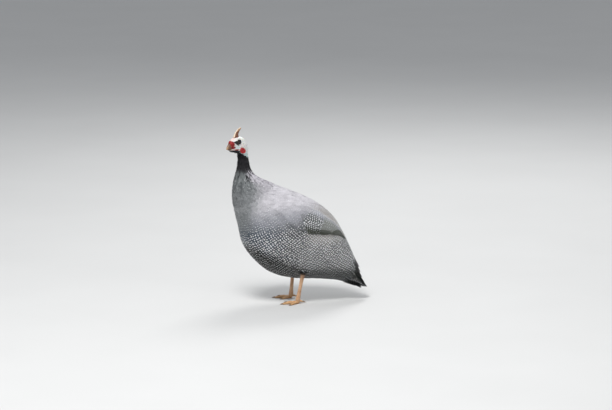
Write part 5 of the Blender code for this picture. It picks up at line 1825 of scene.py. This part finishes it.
def make_skin(winged, material):
    """One skin for head, neck, body, tail, wings and thighs. All but the face lies inside the coat."""
    head_points, head_faces = head_surface()
    share = smooth(np.arange(len(winged.points)), 0, 4 * GRID_ROWS_PER_STATION)
    depth = between(COAT_DEPTH, share)[:, None, None]
    turn = turns(GRID_SIDES)
    rings = list(winged.points - winged.normals * depth)[:-TAIL_CORE_ROWS]
    up, wide = TAIL_SKIN_SHARES
    for x, z, high_x, high_z, half_width in TAIL_CORE_TIP:
        ring = np.array((x, 0, z)) + BODY_OFFSET + np.outer(np.cos(turn), (high_x * up, 0, high_z * up))
        rings.append(ring + np.outer(np.sin(turn), (0, half_width * wide, 0)))
    parts = [loft(rings), (from_head(head_points), head_faces)]
    tree = BVHTree.FromPolygons(head_points.tolist(), head_faces.tolist())
    for side, hock, joint, _ in LEGS.values():
        lids, lid_faces = eyelids(tree, side)
        parts.append((from_head(lids.reshape(-1, 3)), lid_faces))
        parts.append(loft(drumstick_rings(side, hock, joint, THIGH_DEPTH + COAT_DEPTH[1])))
    points, faces = joined(parts)
    made = mesh_object("skin", points, faces, material)
    # The coat's tones and dots, with their painted shade and painted light, so that a gap between two
    # feathers shows the same markings
    normals = np.array([corner.vector for corner in made.data.vertex_normals])
    ground, marks = body_tones(points, normals, np.random.default_rng(SEED))
    write_attribute(made.data, "ground", "FLOAT_COLOR", np.column_stack([ground, marks[:, 0]]))
    place = to_head(points) / MM
    place[:, 1] = np.abs(place[:, 1])
    write_attribute(made.data, "head_place", "FLOAT_VECTOR", place)
    paired = [f"{part}_{side_name}" for part in ("wing", "thigh") for side_name in SIDES]
    dress(made, "face_skin", "head", "torso", "neck", "tail", *paired)
    return head_points, head_faces


# Floor, lights and camera


# Lamps: place, size and power
LAMPS = {
    "key": ((-0.9, -1.5, 3.0), 1.1, 92.0),
    "fill": ((1.6, -2.4, 1.3), 2.0, 9.0),
    "rim": ((1.0, 2.0, 2.4), 1.2, 40.0),
}
LAMP_TARGET = Vector((0, 0, 0.22))
FLOOR_REACH = 30.0


def make_stage():
    """A pale floor and soft studio lights."""
    made, graph = new_material("studio floor", Roughness=0.85)
    grain = graph.noise(graph.position(), 3.0)
    graph.give(Base_Color=graph.mix(grain, (0.62, 0.62, 0.61), (0.66, 0.66, 0.65)))
    corners = np.array([(-1, -1, 0), (1, -1, 0), (1, 1, 0), (-1, 1, 0)]) * FLOOR_REACH
    floor = mesh_object("studio_floor", corners, np.array([[0, 1, 2, 3]]), made)
    world = bpy.data.worlds.new("studio")
    bpy.context.scene.world = world
    world.use_nodes = True
    sky = world.node_tree.nodes["Background"].inputs
    sky["Color"].default_value = (0.92, 0.95, 1.0, 1.0)
    sky["Strength"].default_value = 0.42
    bpy.context.scene.view_settings.view_transform = "Standard"
    for name, (place, size, power) in LAMPS.items():
        light = bpy.data.lights.new(name, "AREA")
        light.size = size
        light.energy = power
        lamp = bpy.data.objects.new(name, light)
        lamp.location = place
        lamp.rotation_euler = (LAMP_TARGET - Vector(place)).to_track_quat("-Z", "Y").to_euler()
        bpy.context.scene.collection.objects.link(lamp)


def make_camera():
    """The camera, aimed so that the floor under the bird's middle falls on its pixel."""
    turn, rise = math.radians(CAMERA_AZIMUTH), math.radians(CAMERA_ELEVATION)
    back = Vector((math.sin(turn) * math.cos(rise), -math.cos(turn) * math.cos(rise), math.sin(rise)))
    right = Vector((math.cos(turn), math.sin(turn), 0))
    up = back.cross(right)
    pixel = CAMERA_DISTANCE * SENSOR / CAMERA_LENS / PHOTO_SIZE[0]
    across, down = PHOTO_SIZE[0] / 2 - FLOOR_PIXEL[0], FLOOR_PIXEL[1] - PHOTO_SIZE[1] / 2
    aim = right * (across * pixel) + up * (down * pixel)
    data = bpy.data.cameras.new("camera")
    data.lens, data.sensor_width = CAMERA_LENS, SENSOR
    camera = bpy.data.objects.new("camera", data)
    camera.location = aim + back * CAMERA_DISTANCE
    camera.rotation_euler = back.to_track_quat("Z", "Y").to_euler()
    bpy.context.scene.collection.objects.link(camera)
    bpy.context.scene.camera = camera


def middle_of(node):
    low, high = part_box(node)
    return (low + high) / 2


HEAD_CENTRE = (middle_of("eye_left") + middle_of("eye_right")) / 2
HEAD_AXES = np.array(Matrix.Rotation(HEAD_TURN, 3, "Z"))
BODY_OFFSET = tuple(HEAD_CENTRE - HEAD_FROM_BODY)

make_camera()
make_stage()
build_vane_group()
RNG = np.random.default_rng(SEED)
BARE, WINGED = make_body_sheets()
build_oval_group()
HEAD_POINTS, HEAD_FACES = make_skin(WINGED, make_face_material())
make_head(RNG)
make_legs()
COAT = plumage_material("contour plumage", DOT_SPACING["contour"])
make_body_feathers(WINGED, COAT, RNG)
NECK_COAT = plumage_material("neck plumage", DOT_SPACING["neck"])
make_neck_feathers(BARE, NECK_COAT, RNG)
make_head_bristles(HEAD_POINTS, HEAD_FACES, NECK_COAT, RNG)
make_thigh_feathers(WINGED, COAT, RNG)
LEFT_WING, WING_US, WING_VS = wing_sheet(WINGED)
QUILLS = plumage_material("quill plumage", DOT_SPACING["quill"], roughness=0.55)
for side_name in SIDES:
    make_wing_feathers(LEFT_WING, WING_US, WING_VS, side_name, QUILLS, RNG)
make_tail_feathers(QUILLS, RNG)
